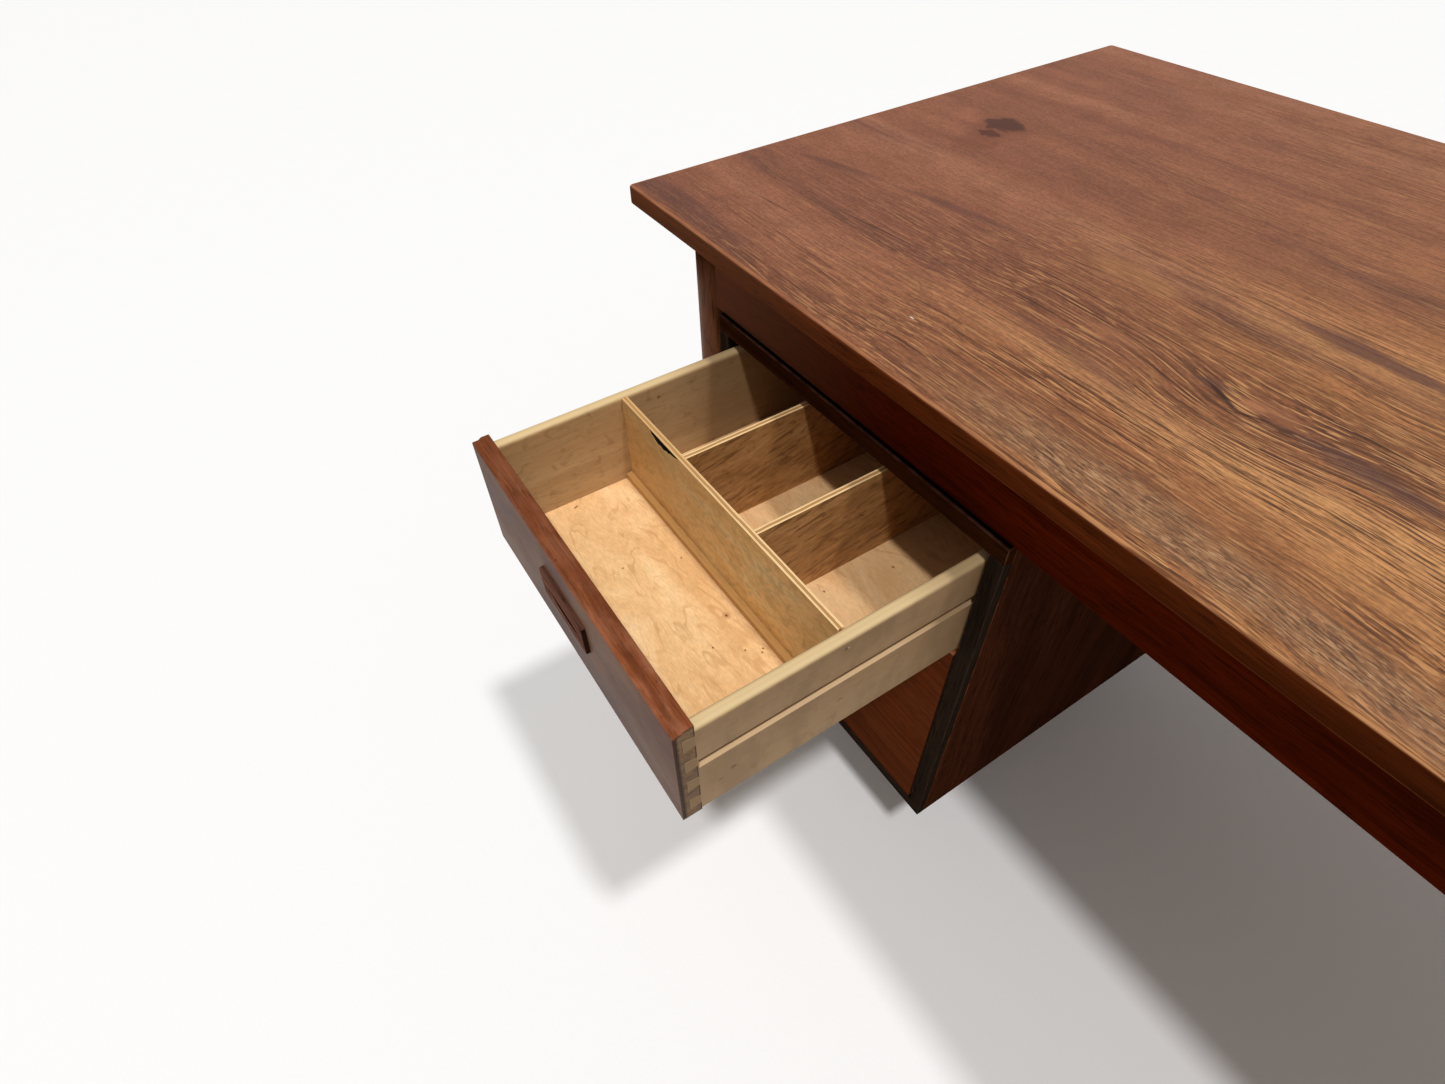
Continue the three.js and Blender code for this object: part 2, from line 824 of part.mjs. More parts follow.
function makeDrawer(name, height) {
  const group = new THREE.Group();
  const sideHeight = height - sideDropBelowFront - sideRiseAboveFront;
  const tailCount = Math.floor(sideHeight / tailPitch);
  const tailZones = [];
  for (let index = 0; index < tailCount; index += 1) {
    tailZones.push(sideMiddleOf(height) + (index - (tailCount - 1) / 2) * tailPitch);
  }
  makeFront(group, name, height, tailZones);
  makePull(group, name, height);
  makeSides(group, name, height, tailZones);
  makeBackAndBottom(group, name, height);
  return group;
}

function grooveMiddleOf(frontBottom, frontHeight) {
  return frontBottom + sideMiddleOf(frontHeight) + runnerGrooveRise;
}

// ---- the desk ---------------------------------------------------------------------------------

const desk = new THREE.Group();
makeTop(desk);
makeLegs(desk);
makeLongApron(desk, "front");
makeLongApron(desk, "back");
makeSideApron(desk, "left");
makeSideApron(desk, "right");
makeCrossRails(desk);
makeCarcase(desk);
makeFrontFrame(desk);
makeRunners(desk, "upper", grooveMiddleOf(upperDrawerBottom, upperFrontHeight));
makeRunners(desk, "lower", grooveMiddleOf(lowerDrawerBottom, lowerFrontHeight));
makeHangerScrews(desk);

const upperDrawer = makeDrawer("upper_drawer", upperFrontHeight);
makeDividers(upperDrawer, "upper_drawer", upperFrontHeight);
upperDrawer.position.set(drawerLeft, openDrawerFront, upperDrawerBottom);
desk.add(upperDrawer);

const lowerDrawer = makeDrawer("lower_drawer", lowerFrontHeight);
lowerDrawer.position.set(drawerLeft, pedestalFront, lowerDrawerBottom);
desk.add(lowerDrawer);

// The origin is on the floor, under the middle of everything: the open drawer's pull is the
// foremost point and the top's back edge the rearmost.
const foremost = openDrawerFront - pullProud;
desk.position.set(-deskLength / 2, -(foremost + deskDepth) / 2, 0);

export default desk;
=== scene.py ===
"""Looks for a teak writing desk: finishes, eased edges, worked pulls and caps, and a soft studio.

Everything is in metres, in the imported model's frame: +X along the desk, +Y to its back and +Z up,
with the floor at Z = 0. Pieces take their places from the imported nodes.
"""

import json
import math

import bmesh
import bpy
from mathutils import Matrix, Vector, noise

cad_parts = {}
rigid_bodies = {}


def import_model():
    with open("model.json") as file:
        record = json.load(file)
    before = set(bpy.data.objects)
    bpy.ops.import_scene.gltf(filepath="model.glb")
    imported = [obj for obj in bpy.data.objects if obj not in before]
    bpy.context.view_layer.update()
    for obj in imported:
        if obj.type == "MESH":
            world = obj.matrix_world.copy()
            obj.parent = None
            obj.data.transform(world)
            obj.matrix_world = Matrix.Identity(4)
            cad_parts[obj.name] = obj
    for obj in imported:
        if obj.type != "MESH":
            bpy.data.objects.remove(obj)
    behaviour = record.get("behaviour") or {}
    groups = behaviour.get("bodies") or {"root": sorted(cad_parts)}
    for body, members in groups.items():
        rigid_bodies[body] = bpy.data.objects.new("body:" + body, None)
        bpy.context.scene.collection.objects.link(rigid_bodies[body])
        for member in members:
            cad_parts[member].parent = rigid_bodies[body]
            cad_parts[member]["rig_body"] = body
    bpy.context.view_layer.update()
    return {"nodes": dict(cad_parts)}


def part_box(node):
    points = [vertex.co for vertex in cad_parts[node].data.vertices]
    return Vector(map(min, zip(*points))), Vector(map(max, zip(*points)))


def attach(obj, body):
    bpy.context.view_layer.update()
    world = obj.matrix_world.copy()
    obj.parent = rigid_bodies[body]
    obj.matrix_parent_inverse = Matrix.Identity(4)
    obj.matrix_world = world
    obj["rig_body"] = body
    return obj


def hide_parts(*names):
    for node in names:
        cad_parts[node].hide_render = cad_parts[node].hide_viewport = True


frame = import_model()

MM = 0.001

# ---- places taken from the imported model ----

TOP_CORNER = Vector(
    (
        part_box("top_lipping_left")[0].x,
        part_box("top_lipping_front")[0].y,
        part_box("top_panel")[1].z,
    )
)
CAP_STEP = 2 * MM


def on_top(x, y):
    """A point on the desktop, in millimetres from its front left corner."""
    return TOP_CORNER + Vector((x, y, 0)) * MM


# ---- meshes ----

WELD = 0.002 * MM
FLAT_ANGLE = math.radians(0.5)
EASED_ANGLE = math.radians(28)
CREASE_ANGLE = math.radians(50)


def new_object(name, data):
    """A new object in the scene that shows the data."""
    made = bpy.data.objects.new(name, data)
    bpy.context.scene.collection.objects.link(made)
    return made


def new_mesh(name, mesh):
    """The bmesh as mesh data, with the bmesh freed."""
    data = bpy.data.meshes.new(name)
    mesh.to_mesh(data)
    mesh.free()
    return data


def add_piece(name, mesh, finish, node, creased=True):
    """Turns a bmesh into a piece that stands for one CAD node. Turned pieces have no creases."""
    for face in mesh.faces:
        face.smooth = True
    for edge in mesh.edges:
        if creased and edge.is_manifold and edge.calc_face_angle() > CREASE_ANGLE:
            edge.smooth = False
    data = new_mesh(name, mesh)
    data.materials.append(finish)
    piece = new_object(name, data)
    normals = piece.modifiers.new("normals", "WEIGHTED_NORMAL")
    normals.keep_sharp = True
    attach(piece, frame["nodes"][node]["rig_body"])
    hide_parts(node)
    return piece


def ease_edges(mesh, arris):
    """Rounds the sharp edges of a bmesh, and marks the faces of the rounding."""
    eased_faces = mesh.faces.layers.float.new("eased_faces")
    sharp = [e for e in mesh.edges if e.is_manifold and e.calc_face_angle() > EASED_ANGLE]
    rounding = bmesh.ops.bevel(
        mesh, geom=sharp, offset=arris, segments=2, profile=0.5, affect="EDGES",
        clamp_overlap=True,
    )
    for face in rounding["faces"]:
        face[eased_faces] = 1.0


def bare_copy(node):
    """The CAD node's mesh, welded, with its flat faces whole."""
    mesh = bmesh.new()
    mesh.from_mesh(frame["nodes"][node].data)
    bmesh.ops.remove_doubles(mesh, verts=mesh.verts, dist=WELD)
    bmesh.ops.dissolve_limit(mesh, angle_limit=FLAT_ANGLE, verts=mesh.verts, edges=mesh.edges)
    return mesh


def eased(node, finish, arris):
    """The CAD node with its edges rounded to arris millimetres."""
    mesh = bare_copy(node)
    ease_edges(mesh, arris * MM)
    return add_piece(node + "_eased", mesh, finish, node)


def loft(outlines):
    """A closed solid through outlines that have the same number of points."""
    mesh = bmesh.new()
    rows = [[mesh.verts.new(point) for point in outline] for outline in outlines]
    for lower, upper in zip(rows, rows[1:]):
        for here in range(len(lower)):
            there = (here + 1) % len(lower)
            mesh.faces.new((lower[here], lower[there], upper[there], upper[here]))
    mesh.faces.new(rows[0])
    mesh.faces.new(rows[-1][::-1])
    bmesh.ops.recalc_face_normals(mesh, faces=mesh.faces)
    return mesh


def quarter_round(radius, steps):
    """(inset, rise) along a quarter round, from its foot, where the inset is the whole radius."""
    angles = [math.pi / 2 * step / steps for step in range(steps + 1)]
    return [(radius * (1 - math.sin(a)), radius * (1 - math.cos(a))) for a in angles]


def lathe(centre, rings, segments):
    """A turned solid round an upright axis, from (radius, height) rings."""
    angles = [math.tau * index / segments for index in range(segments)]
    outlines = []
    for radius, height in rings:
        ring = [Vector((math.cos(a) * radius, math.sin(a) * radius, height)) for a in angles]
        outlines.append([centre + point for point in ring])
    return loft(outlines)


def carve(piece, cutter):
    """Takes a cutter's solid out of a piece, and removes the cutter."""
    cut = piece.modifiers.new("cut", "BOOLEAN")
    cut.operation = "DIFFERENCE"
    cut.solver = "EXACT"
    cut.object = cutter
    shaped = piece.evaluated_get(bpy.context.evaluated_depsgraph_get())
    data = bpy.data.meshes.new_from_object(shaped)
    piece.modifiers.remove(cut)
    piece.data = data
    bpy.data.objects.remove(cutter)


# ---- finishes ----


def tone(red, green, blue):
    """A screen colour from 0 to 255 as the linear colour that a shader takes."""

    def linear(value):
        share = value / 255
        if share <= 0.04045:
            return share / 12.92
        return ((share + 0.055) / 1.055) ** 2.4

    return (linear(red), linear(green), linear(blue), 1.0)


def evenly(low, high, tones):
    """Ramp stops that are spread evenly from low to high."""
    step = (high - low) / (len(tones) - 1)
    return [(low + step * index, color) for index, color in enumerate(tones)]


# A colour Mix node has a set of sockets for each data type: these are its colour sockets.
MIX_FIRST = 6
MIX_SECOND = 7
MIX_RESULT = 2
GRAIN_WANDER = 0.035


class Finish:
    """One material: a Principled shader, and the texture nodes that feed it."""

    def __init__(self, name):
        self.material = bpy.data.materials.new(name)
        self.material.use_nodes = True
        self.nodes = self.material.node_tree.nodes
        self.links = self.material.node_tree.links
        self.shader = self.nodes["Principled BSDF"]
        self.place = self.nodes.new("ShaderNodeTexCoord").outputs["Object"]
        self.grain = self.color = self.height = self.roughness = None

    def feed(self, socket, value):
        if isinstance(value, bpy.types.NodeSocket):
            self.links.new(value, socket)
        else:
            socket.default_value = value

    def node(self, kind, inputs, **settings):
        made = self.nodes.new(kind)
        for key, value in settings.items():
            setattr(made, key, value)
        for key, value in inputs.items():
            self.feed(made.inputs[key], value)
        return made

    def mapped(self, place, shift=(0, 0, 0), turn=(0, 0, 0), scale=(1, 1, 1)):
        inputs = {"Vector": place, "Location": shift, "Rotation": turn, "Scale": scale}
        return self.node("ShaderNodeMapping", inputs).outputs["Vector"]

    def noise(self, place, scale=1.0, detail=3.0, rough=0.55, twist=0.0):
        inputs = {
            "Vector": place, "Scale": scale, "Detail": detail, "Roughness": rough,
            "Distortion": twist,
        }
        return self.node("ShaderNodeTexNoise", inputs).outputs["Fac"]

    def fade(self, value, low, high, start=0.0, end=1.0):
        """Goes smoothly from start to end as value goes from low to high."""
        inputs = {
            "Value": value, "From Min": low, "From Max": high, "To Min": start, "To Max": end,
        }
        made = self.node("ShaderNodeMapRange", inputs, interpolation_type="SMOOTHSTEP")
        return made.outputs["Result"]

    def math(self, operation, first, second=0.0):
        inputs = {0: first, 1: second}
        return self.node("ShaderNodeMath", inputs, operation=operation).outputs["Value"]

    def plus(self, first, second):
        return self.math("ADD", first, second)

    def minus(self, first, second):
        return self.math("SUBTRACT", first, second)

    def absolute(self, value):
        return self.math("ABSOLUTE", value)

    def mix(self, share, first, second, blend="MIX"):
        made = self.node("ShaderNodeMix", {}, data_type="RGBA", blend_type=blend)
        self.feed(made.inputs["Factor"], share)
        self.feed(made.inputs[MIX_FIRST], first)
        self.feed(made.inputs[MIX_SECOND], second)
        return made.outputs[MIX_RESULT]

    def paint(self, color, *shares):
        """Lays a colour, given from 0 to 255, over what is there, as thick as its shares say."""
        self.color = self.mix(self.product(*shares), self.color, tone(*color))

    def shade(self, factor):
        """Multiplies the colour by a factor."""
        self.color = self.mix(1.0, self.color, factor, "MULTIPLY")

    def gloss(self, level):
        """Sets how strongly the surface mirrors; the shader's own usual level is 0.5."""
        self.shader.inputs["Specular IOR Level"].default_value = level

    def ramp(self, value, stops):
        """Goes through (value, colour) stops, with the colours given from 0 to 255."""
        made = self.node("ShaderNodeValToRGB", {"Fac": value})
        elements = made.color_ramp.elements
        while len(elements) < len(stops):
            elements.new(0.5)
        for element, (position, color) in zip(elements, stops):
            element.position = position
            element.color = tone(*color)
        return made.outputs["Color"]

    def apart(self, place):
        return self.node("ShaderNodeSeparateXYZ", {"Vector": place}).outputs

    def grain_place(self, along, seed):
        """Coordinates turned so that X runs along the grain, with a slow wander across it."""
        turns = {"X": (0, 0, 0), "Y": (0, 0, -math.pi / 2), "Z": (0, math.pi / 2, 0)}
        turned = self.mapped(self.place, turn=turns[along])
        shifted = self.mapped(turned, shift=(seed * 1.7, seed * 0.9, seed * 2.3))
        wander = self.noise(shifted, scale=3.2, detail=2)
        across = self.product(self.minus(wander, 0.5), GRAIN_WANDER)
        return self.pushed(shifted, Y=across, Z=across)

    def pushed(self, place, **amounts):
        """The place moved by an amount along each of the axes named."""
        push = self.node("ShaderNodeCombineXYZ", amounts).outputs[0]
        return self.node("ShaderNodeVectorMath", {0: place, 1: push}).outputs["Vector"]

    def layer(self, rates, detail=3.0, rough=0.55, twist=0.0, shift=0.0):
        """Noise stretched along the grain. Rates are waves per metre, along it and across it."""
        scale = (rates[0], rates[1], rates[1])
        stretched = self.mapped(self.grain, shift=(shift, shift, shift), scale=scale)
        return self.noise(stretched, detail=detail, rough=rough, twist=twist)

    def growth_lines(self, spacing, width, waver, shift=0.0):
        """Thin long lines along the grain: spacing in millimetres, width as a share of it."""
        moved = self.mapped(self.grain, shift=(shift, shift, shift))
        bend = self.noise(self.mapped(moved, scale=(1.6, 26, 26)), detail=3)
        cycles = self.product(self.apart(moved)["Y"], 1 / (spacing * MM))
        phase = self.plus(cycles, self.product(bend, waver))
        wave = self.math("SINE", self.product(phase, math.tau))
        return self.fade(wave, math.cos(math.pi * width * 2), math.cos(math.pi * width))

    def behind(self, corner, axis):
        """How far a place lies from a corner along one axis, in metres."""
        return self.minus(self.apart(self.place)[axis], corner)

    def beside(self, centre):
        """The place as it lies from a centre."""
        made = self.node("ShaderNodeVectorMath", {0: self.place, 1: centre}, operation="SUBTRACT")
        return made.outputs["Vector"]

    def length(self, place):
        return self.node("ShaderNodeVectorMath", {0: place}, operation="LENGTH").outputs["Value"]

    def cloud(self, rates, detail, twist=0.0):
        """Noise that stands still in the piece. Rates are waves per metre along X, Y and Z."""
        return self.noise(self.mapped(self.place, scale=rates), detail=detail, twist=twist)

    def product(self, *factors):
        result = factors[0]
        for factor in factors[1:]:
            result = self.math("MULTIPLY", result, factor)
        return result

    def facing(self, axis):
        """How squarely a surface faces along one axis: 1 towards it, -1 away from it."""
        return self.apart(self.node("ShaderNodeNewGeometry", {}).outputs["Normal"])[axis]

    def ends(self, axis):
        """1 on the surfaces at either end of one axis, 0 on the others."""
        return self.fade(self.absolute(self.facing(axis)), 0.5, 0.8)

    def eased_faces(self):
        """1 on a piece's eased edges, 0 elsewhere."""
        return self.node("ShaderNodeAttribute", {}, attribute_name="eased_faces").outputs["Fac"]

    def mark(self, centre, size, color, share, ragged=0.35, turn=0.0, rim=(0.35, 1.1)):
        """A spot with an uneven outline that fades out across its rim.

        size is its half extents in millimetres, and turn is in degrees.
        """
        inverse = tuple(1 / (extent * MM) for extent in size)
        turned = self.mapped(self.beside(centre), turn=(0, 0, -math.radians(turn)))
        scaled = self.mapped(turned, scale=inverse)
        uneven = self.minus(self.noise(scaled, scale=1.3, detail=4), 0.5)
        reach = self.plus(self.length(scaled), self.product(uneven, ragged * 3))
        self.paint(color, self.fade(reach, rim[0], rim[1], share, 0.0))

    def close(self, relief, distance=0.4):
        """Feeds the layers to the shader. distance is the bump's height in millimetres."""
        self.feed(self.shader.inputs["Base Color"], self.color)
        self.feed(self.shader.inputs["Roughness"], self.roughness)
        bump = self.node(
            "ShaderNodeBump",
            {"Strength": relief, "Distance": distance * MM, "Height": self.height},
        )
        self.feed(self.shader.inputs["Normal"], bump.outputs["Normal"])
        return self.material


def wood(
    name, along, tones, seed, band=(1.1, 15), line=(3.0, 110), fibre=(14, 620),
    pore=(34, 700), line_depth=0.25, fibre_depth=0.22, pore_tone=(60, 34, 26), pore_share=0.6,
    roughness=(0.42, 0.6), specular=0.2,
):
    """A wood with broad bands, growth lines, fibres and pores.

    The rates of each are pairs: waves per metre along the grain, and across it.
    """
    f = Finish(name)
    f.grain = f.grain_place(along, seed)
    bands = f.layer(band, detail=4, twist=0.5)
    lines = f.layer(line, detail=3, twist=0.4)
    fibres = f.layer(fibre, detail=2)
    pores = f.layer(pore, detail=2)
    f.color = f.ramp(bands, evenly(0.3, 0.7, tones))
    f.shade(f.fade(lines, 0.35, 0.6, 1 - line_depth, 1.0))
    f.shade(f.fade(fibres, 0.3, 0.7, 1 - fibre_depth, 1 + fibre_depth * 0.5))
    open_pore = f.fade(pores, 0.56, 0.66)
    f.paint(pore_tone, open_pore, pore_share)
    f.height = f.minus(f.product(fibres, 0.5), open_pore)
    f.roughness = f.fade(f.plus(bands, fibres), 0.6, 1.4, roughness[0], roughness[1])
    f.gloss(specular)
    return f


FLAME = on_top(580, 164)
FLAME_PUSH = 0.02
SMOKE_TONE = (88, 56, 50)


def flame_bend(f):
    """Pushes the grain aside round the branch figure, and leaves it alone elsewhere."""
    away = f.length(f.mapped(f.beside(FLAME), scale=(9, 15, 1)))
    push = f.fade(away, 0.0, 1.0, FLAME_PUSH, 0.0)
    f.grain = f.pushed(f.grain, Y=push)


def top_ground(f, golden, calmness):
    """The veneer's own colours: calm red-brown, and golden where the grain is open."""
    bands = f.layer((0.9, 11), detail=4, twist=0.4)
    calm = f.ramp(bands, evenly(0.32, 0.68, ((124, 75, 56), (143, 90, 67), (155, 103, 79))))
    warm = f.ramp(bands, evenly(0.32, 0.68, ((134, 86, 53), (170, 114, 70), (200, 144, 90))))
    f.color = f.mix(golden, calm, warm)
    smoke = f.layer((1.5, 10), detail=5, twist=0.8)
    f.paint(SMOKE_TONE, f.fade(smoke, 0.5, 0.66, 0.0, 0.6), calmness)
    f.roughness = f.fade(bands, 0.3, 0.7, 0.42, 0.56)


def top_grain(f, open_grain):
    """Growth lines, pores, and the light ridges between them. Returns the height of it all."""
    broken = f.fade(f.layer((9, 80), detail=3, shift=2.0), 0.4, 0.58, 0.1, 1.0)
    wide_lines = f.product(f.growth_lines(11, 0.16, 1.6), broken, open_grain)
    f.paint((68, 38, 24), wide_lines, 0.8)
    patchy = f.fade(f.layer((12, 110), detail=3, shift=9.0), 0.42, 0.58, 0.1, 1.0)
    fine_lines = f.product(f.growth_lines(4.2, 0.22, 1.9, shift=4.0), patchy, open_grain)
    f.paint((80, 46, 28), fine_lines, 0.7)
    pores = f.product(f.fade(f.layer((34, 640), detail=2), 0.51, 0.6), open_grain)
    f.paint((72, 42, 28), pores, 0.75)
    ridges = f.product(f.fade(f.layer((26, 520), detail=2, shift=7.0), 0.54, 0.63), open_grain)
    f.paint((214, 158, 104), ridges, 0.72)
    return f.minus(ridges, f.plus(wide_lines, f.plus(fine_lines, pores)))


def top_weathering(f):
    """A dry grey strip near the front edge, with pale flecks between its open pores."""
    from_front = f.behind(TOP_CORNER.y, "Y")
    from_left = f.behind(TOP_CORNER.x, "X")
    uneven = f.product(f.layer((5, 30), detail=4, shift=12.0), 0.05)
    reach = f.plus(from_front, uneven)
    strip = f.product(
        f.fade(reach, 0.026, 0.04),
        f.fade(reach, 0.06, 0.09, 1.0, 0.0),
        f.fade(from_left, 0.38, 0.56),
    )
    f.paint((150, 110, 80), strip, 0.5)
    pits = f.fade(f.layer((80, 640), detail=3, shift=18.0), 0.5, 0.58)
    f.paint((72, 50, 38), pits, strip, 0.65)
    flecks = f.fade(f.layer((90, 700), detail=3, shift=15.0), 0.53, 0.64)
    f.paint((194, 154, 114), flecks, strip, 0.6)


MARK_HEIGHT = 40  # tall, so that a mark looks the same at every height of the top


def blot(f, place, size, color, share, ragged=0.5, **shape):
    """A mark on the top, with its place and its half length and width in millimetres."""
    f.mark(on_top(*place), size + (MARK_HEIGHT,), color, share, ragged, **shape)


def crack(f, start, end, width, share):
    """One long dark line in the veneer, between two places given in millimetres."""
    middle = ((start[0] + end[0]) / 2, (start[1] + end[1]) / 2)
    half_length = math.dist(start, end) / 2
    turn = math.degrees(math.atan2(end[1] - start[1], end[0] - start[0]))
    blot(f, middle, (half_length, width), (56, 30, 24), share, ragged=0.3, turn=turn)


def top_figure(f):
    """The figure and the marks that make this top its own: smoke, cracks, a flame and a stain."""
    blot(f, (596, 306), (90, 13), SMOKE_TONE, 0.75, ragged=0.45, turn=-3)
    blot(f, (668, 176), (75, 12), SMOKE_TONE, 0.7, ragged=0.45, turn=-2)
    blot(f, (92, 202), (70, 8), SMOKE_TONE, 0.5, ragged=0.45, turn=14)
    blot(f, (245, 232), (90, 9), SMOKE_TONE, 0.55, ragged=0.45, turn=8)
    blot(f, (470, 130), (90, 9), SMOKE_TONE, 0.4, ragged=0.45, turn=-8)
    crack(f, (88, 93), (160, 98), 0.9, 0.8)
    crack(f, (170, 138), (282, 149), 1.1, 0.85)
    crack(f, (276, 148), (356, 144), 0.9, 0.7)
    crack(f, (340, 238), (470, 255), 1.0, 0.7)
    crack(f, (446, 179), (560, 154), 1.3, 0.7)
    blot(f, (416, 262), (60, 20), (164, 114, 74), 0.4, ragged=0.6)
    blot(f, (470, 176), (40, 10), (158, 104, 72), 0.5)

    blot(f, (590, 186), (26, 13), (146, 94, 66), 0.65)
    blot(f, (580, 181), (12, 6), (176, 118, 82), 0.7)
    blot(f, (550, 182), (16, 8), (94, 62, 56), 0.6)
    crack(f, (538, 186), (584, 163), 3.4, 0.85)
    crack(f, (572, 163), (600, 175), 2.0, 0.8)

    blot(f, (135, 360), (30, 32), (112, 62, 46), 0.5)
    blot(f, (123, 410), (40, 44), (106, 60, 46), 0.5)
    rim = (0.62, 0.95)
    blot(f, (117, 424), (30, 24), (76, 46, 38), 0.85, rim=rim)
    blot(f, (125, 392), (17, 11), (78, 42, 34), 0.8, ragged=0.6, rim=rim)
    f.mark(on_top(360, 66), (3.2, 0.8, 9), (236, 224, 214), 1.0, ragged=0.1)


def teak_top():
    """Oiled teak veneer: calm and red at the left, open grained and golden towards the right."""
    f = Finish("teak_top")
    f.grain = f.grain_place("X", 1.3)
    flame_bend(f)
    from_left = f.behind(TOP_CORNER.x, "X")
    from_front = f.behind(TOP_CORNER.y, "Y")
    drift = f.cloud((2.2, 6, 1), detail=3)
    reach = f.plus(from_left, f.product(drift, 0.5))
    depth = f.minus(from_front, f.product(drift, 0.25))
    golden = f.product(f.fade(reach, 0.45, 0.98), f.fade(depth, 0.1, 0.42, 1.0, 0.15))
    top_ground(f, golden, f.fade(from_front, 0.36, 0.55, 1.0, 0.35))
    mottle = f.cloud((260, 420, 1), detail=3)
    f.shade(f.fade(mottle, 0.3, 0.7, 0.82, 1.14))
    cloud = f.cloud((26, 44, 1), detail=4)
    f.shade(f.fade(cloud, 0.3, 0.7, 0.9, 1.07))
    patches = f.fade(f.layer((3, 22), detail=3, shift=5.0), 0.38, 0.62, 0.5, 1.0)
    nearness = f.fade(depth, 0.05, 0.3, 1.0, 0.35)
    relief = top_grain(f, f.product(f.fade(reach, 0.3, 0.8, 0.14, 1.0), patches, nearness))
    top_weathering(f)
    top_figure(f)
    f.height = f.plus(f.product(mottle, 0.3), relief)
    f.gloss(0.3)
    return f.close(relief=0.7, distance=0.35)


def veneer_match(f):
    """On its upper side a lipping has the colours and the open grain of the veneer beside it."""
    strokes = f.layer((26, 520), detail=2, shift=7.0)
    grain = f.ramp(strokes, [(0.4, (104, 66, 42)), (0.6, (196, 144, 96))])
    golden = f.fade(f.behind(TOP_CORNER.x, "X"), 0.3, 0.7, 0.2, 0.8)
    upper = f.mix(golden, tone(146, 94, 70), grain)
    f.color = f.mix(f.fade(f.facing("Z"), 0.5, 0.85), f.color, upper)


# Painted light: paler towards the desk's left end, where light comes in from the left.
def paint_left_light(f, share):
    f.paint((134, 96, 72), f.fade(f.behind(TOP_CORNER.x, "X"), 0.18, 0.42, share, 0.0))


def teak_edge(along):
    f = wood(
        "teak_edge_" + along.lower(), along, [(68, 28, 9), (85, 37, 13), (100, 48, 20)],
        seed=4.1, pore_tone=(44, 20, 10), roughness=(0.4, 0.52), specular=0.0,
    )
    depth = f.minus(TOP_CORNER.z, f.apart(f.place)["Z"])
    # Partly wear and partly a painted highlight: the upper arris is paler in patches.
    worn_and_highlit = f.fade(depth, 0.3 * MM, 1.8 * MM, 1.0, 0.0)
    patch = f.fade(f.noise(f.place, scale=55, detail=5), 0.35, 0.65, 0.3, 0.7)
    f.paint((166, 112, 76), worn_and_highlit, patch)
    # A painted highlight along the lower arris.
    lower = f.fade(depth, 17.0 * MM, 18.6 * MM, 0.0, 0.5)
    f.paint((132, 78, 46), lower, patch)
    # Painted light: paler towards the desk's left end.
    paint_left_light(f, 0.2)
    veneer_match(f)
    return f.close(relief=0.3)


def tint_eased_edges(f, color, scale, detail, low, shares):
    """Tints the eased edges to a colour, here less and there more, between two shares."""
    patch = f.noise(f.place, scale=scale, detail=detail)
    f.paint(color, f.eased_faces(), f.fade(patch, low, 0.65, *shares))


def dark_teak(name, along, seed, tones, specular=0.0):
    """Old oiled teak in the shade, with painted light that makes it paler near the left end."""
    f = wood(
        name, along, tones, seed=seed, pore_tone=(26, 10, 4), pore_share=0.6,
        roughness=(0.4, 0.52), specular=specular,
    )
    tint_eased_edges(f, (122, 68, 38), 60, 4, 0.4, (0.1, 0.7))
    if along == "X":
        paint_left_light(f, 0.3)
    return f.close(relief=0.3)


def black_stain(name, along, tones, arris_tone):
    """Stained strips, with painted shade that makes them nearly black where they face up, and paler
    arrises that are partly wear and partly a painted highlight.
    """
    f = wood(
        name, along, tones, seed=7.7, pore_tone=(12, 9, 8), roughness=(0.45, 0.6), specular=0.0,
    )
    # Painted shade: nearly black on the faces that look up.
    f.paint((18, 10, 8), f.fade(f.facing("Z"), 0.9, 0.98))
    # Partly wear and partly a painted highlight along the arrises.
    tint_eased_edges(f, arris_tone, 75, 5, 0.35, (0.2, 0.85))
    return f.close(relief=0.25)


def teak_front(name, tones, sheen_share, seed, specular):
    """The drawer fronts' face veneer, with a pale grey-brown haze over its old oil that is painted
    sheen.
    """
    f = wood(
        name, "X", tones, seed=seed, pore=(40, 800), pore_tone=(46, 24, 18), pore_share=0.55,
        roughness=(0.42, 0.55), specular=specular,
    )
    # Painted sheen: pale grey-brown patches over the face.
    sheen_cloud = f.cloud((9, 9, 14), detail=5)
    f.paint((142, 107, 76), f.fade(sheen_cloud, 0.35, 0.65, sheen_share * 0.2, sheen_share))
    tint_eased_edges(f, (52, 26, 18), 60, 4, 0.4, (0.1, 0.6))
    f.paint((48, 25, 14), f.ends("X"), 0.85)
    return f.close(relief=0.3)


def cap_teak(drawer):
    """The strip along the drawer front's top, redder, with handling wear and nicks."""
    f = wood(
        "teak_" + drawer + "_cap", "X", [(102, 54, 30), (124, 68, 39), (142, 84, 51)], seed=3.4,
        line=(6, 240), pore=(60, 900), pore_tone=(78, 38, 22), pore_share=0.5,
        roughness=(0.45, 0.6), specular=0.08,
    )
    patch = f.cloud((22, 60, 60), detail=4)
    from_left = f.behind(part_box(drawer + "_front_cap")[0].x, "X")
    handled = f.fade(from_left, 0.1, 0.5, 0.3, 1.0)
    f.paint((176, 116, 86), f.fade(patch, 0.4, 0.66), handled, 0.65)
    ruddy = f.cloud((30, 90, 90), detail=4)
    f.paint((128, 66, 44), f.fade(ruddy, 0.5, 0.74, 0.0, 0.4))
    f.shade(f.fade(from_left, 0.05, 0.34, 0.84, 1.12))
    nicks = f.cloud((150, 420, 420), detail=3)
    f.paint((64, 32, 20), f.fade(nicks, 0.64, 0.78, 0.0, 0.7))
    return f.close(relief=0.35)


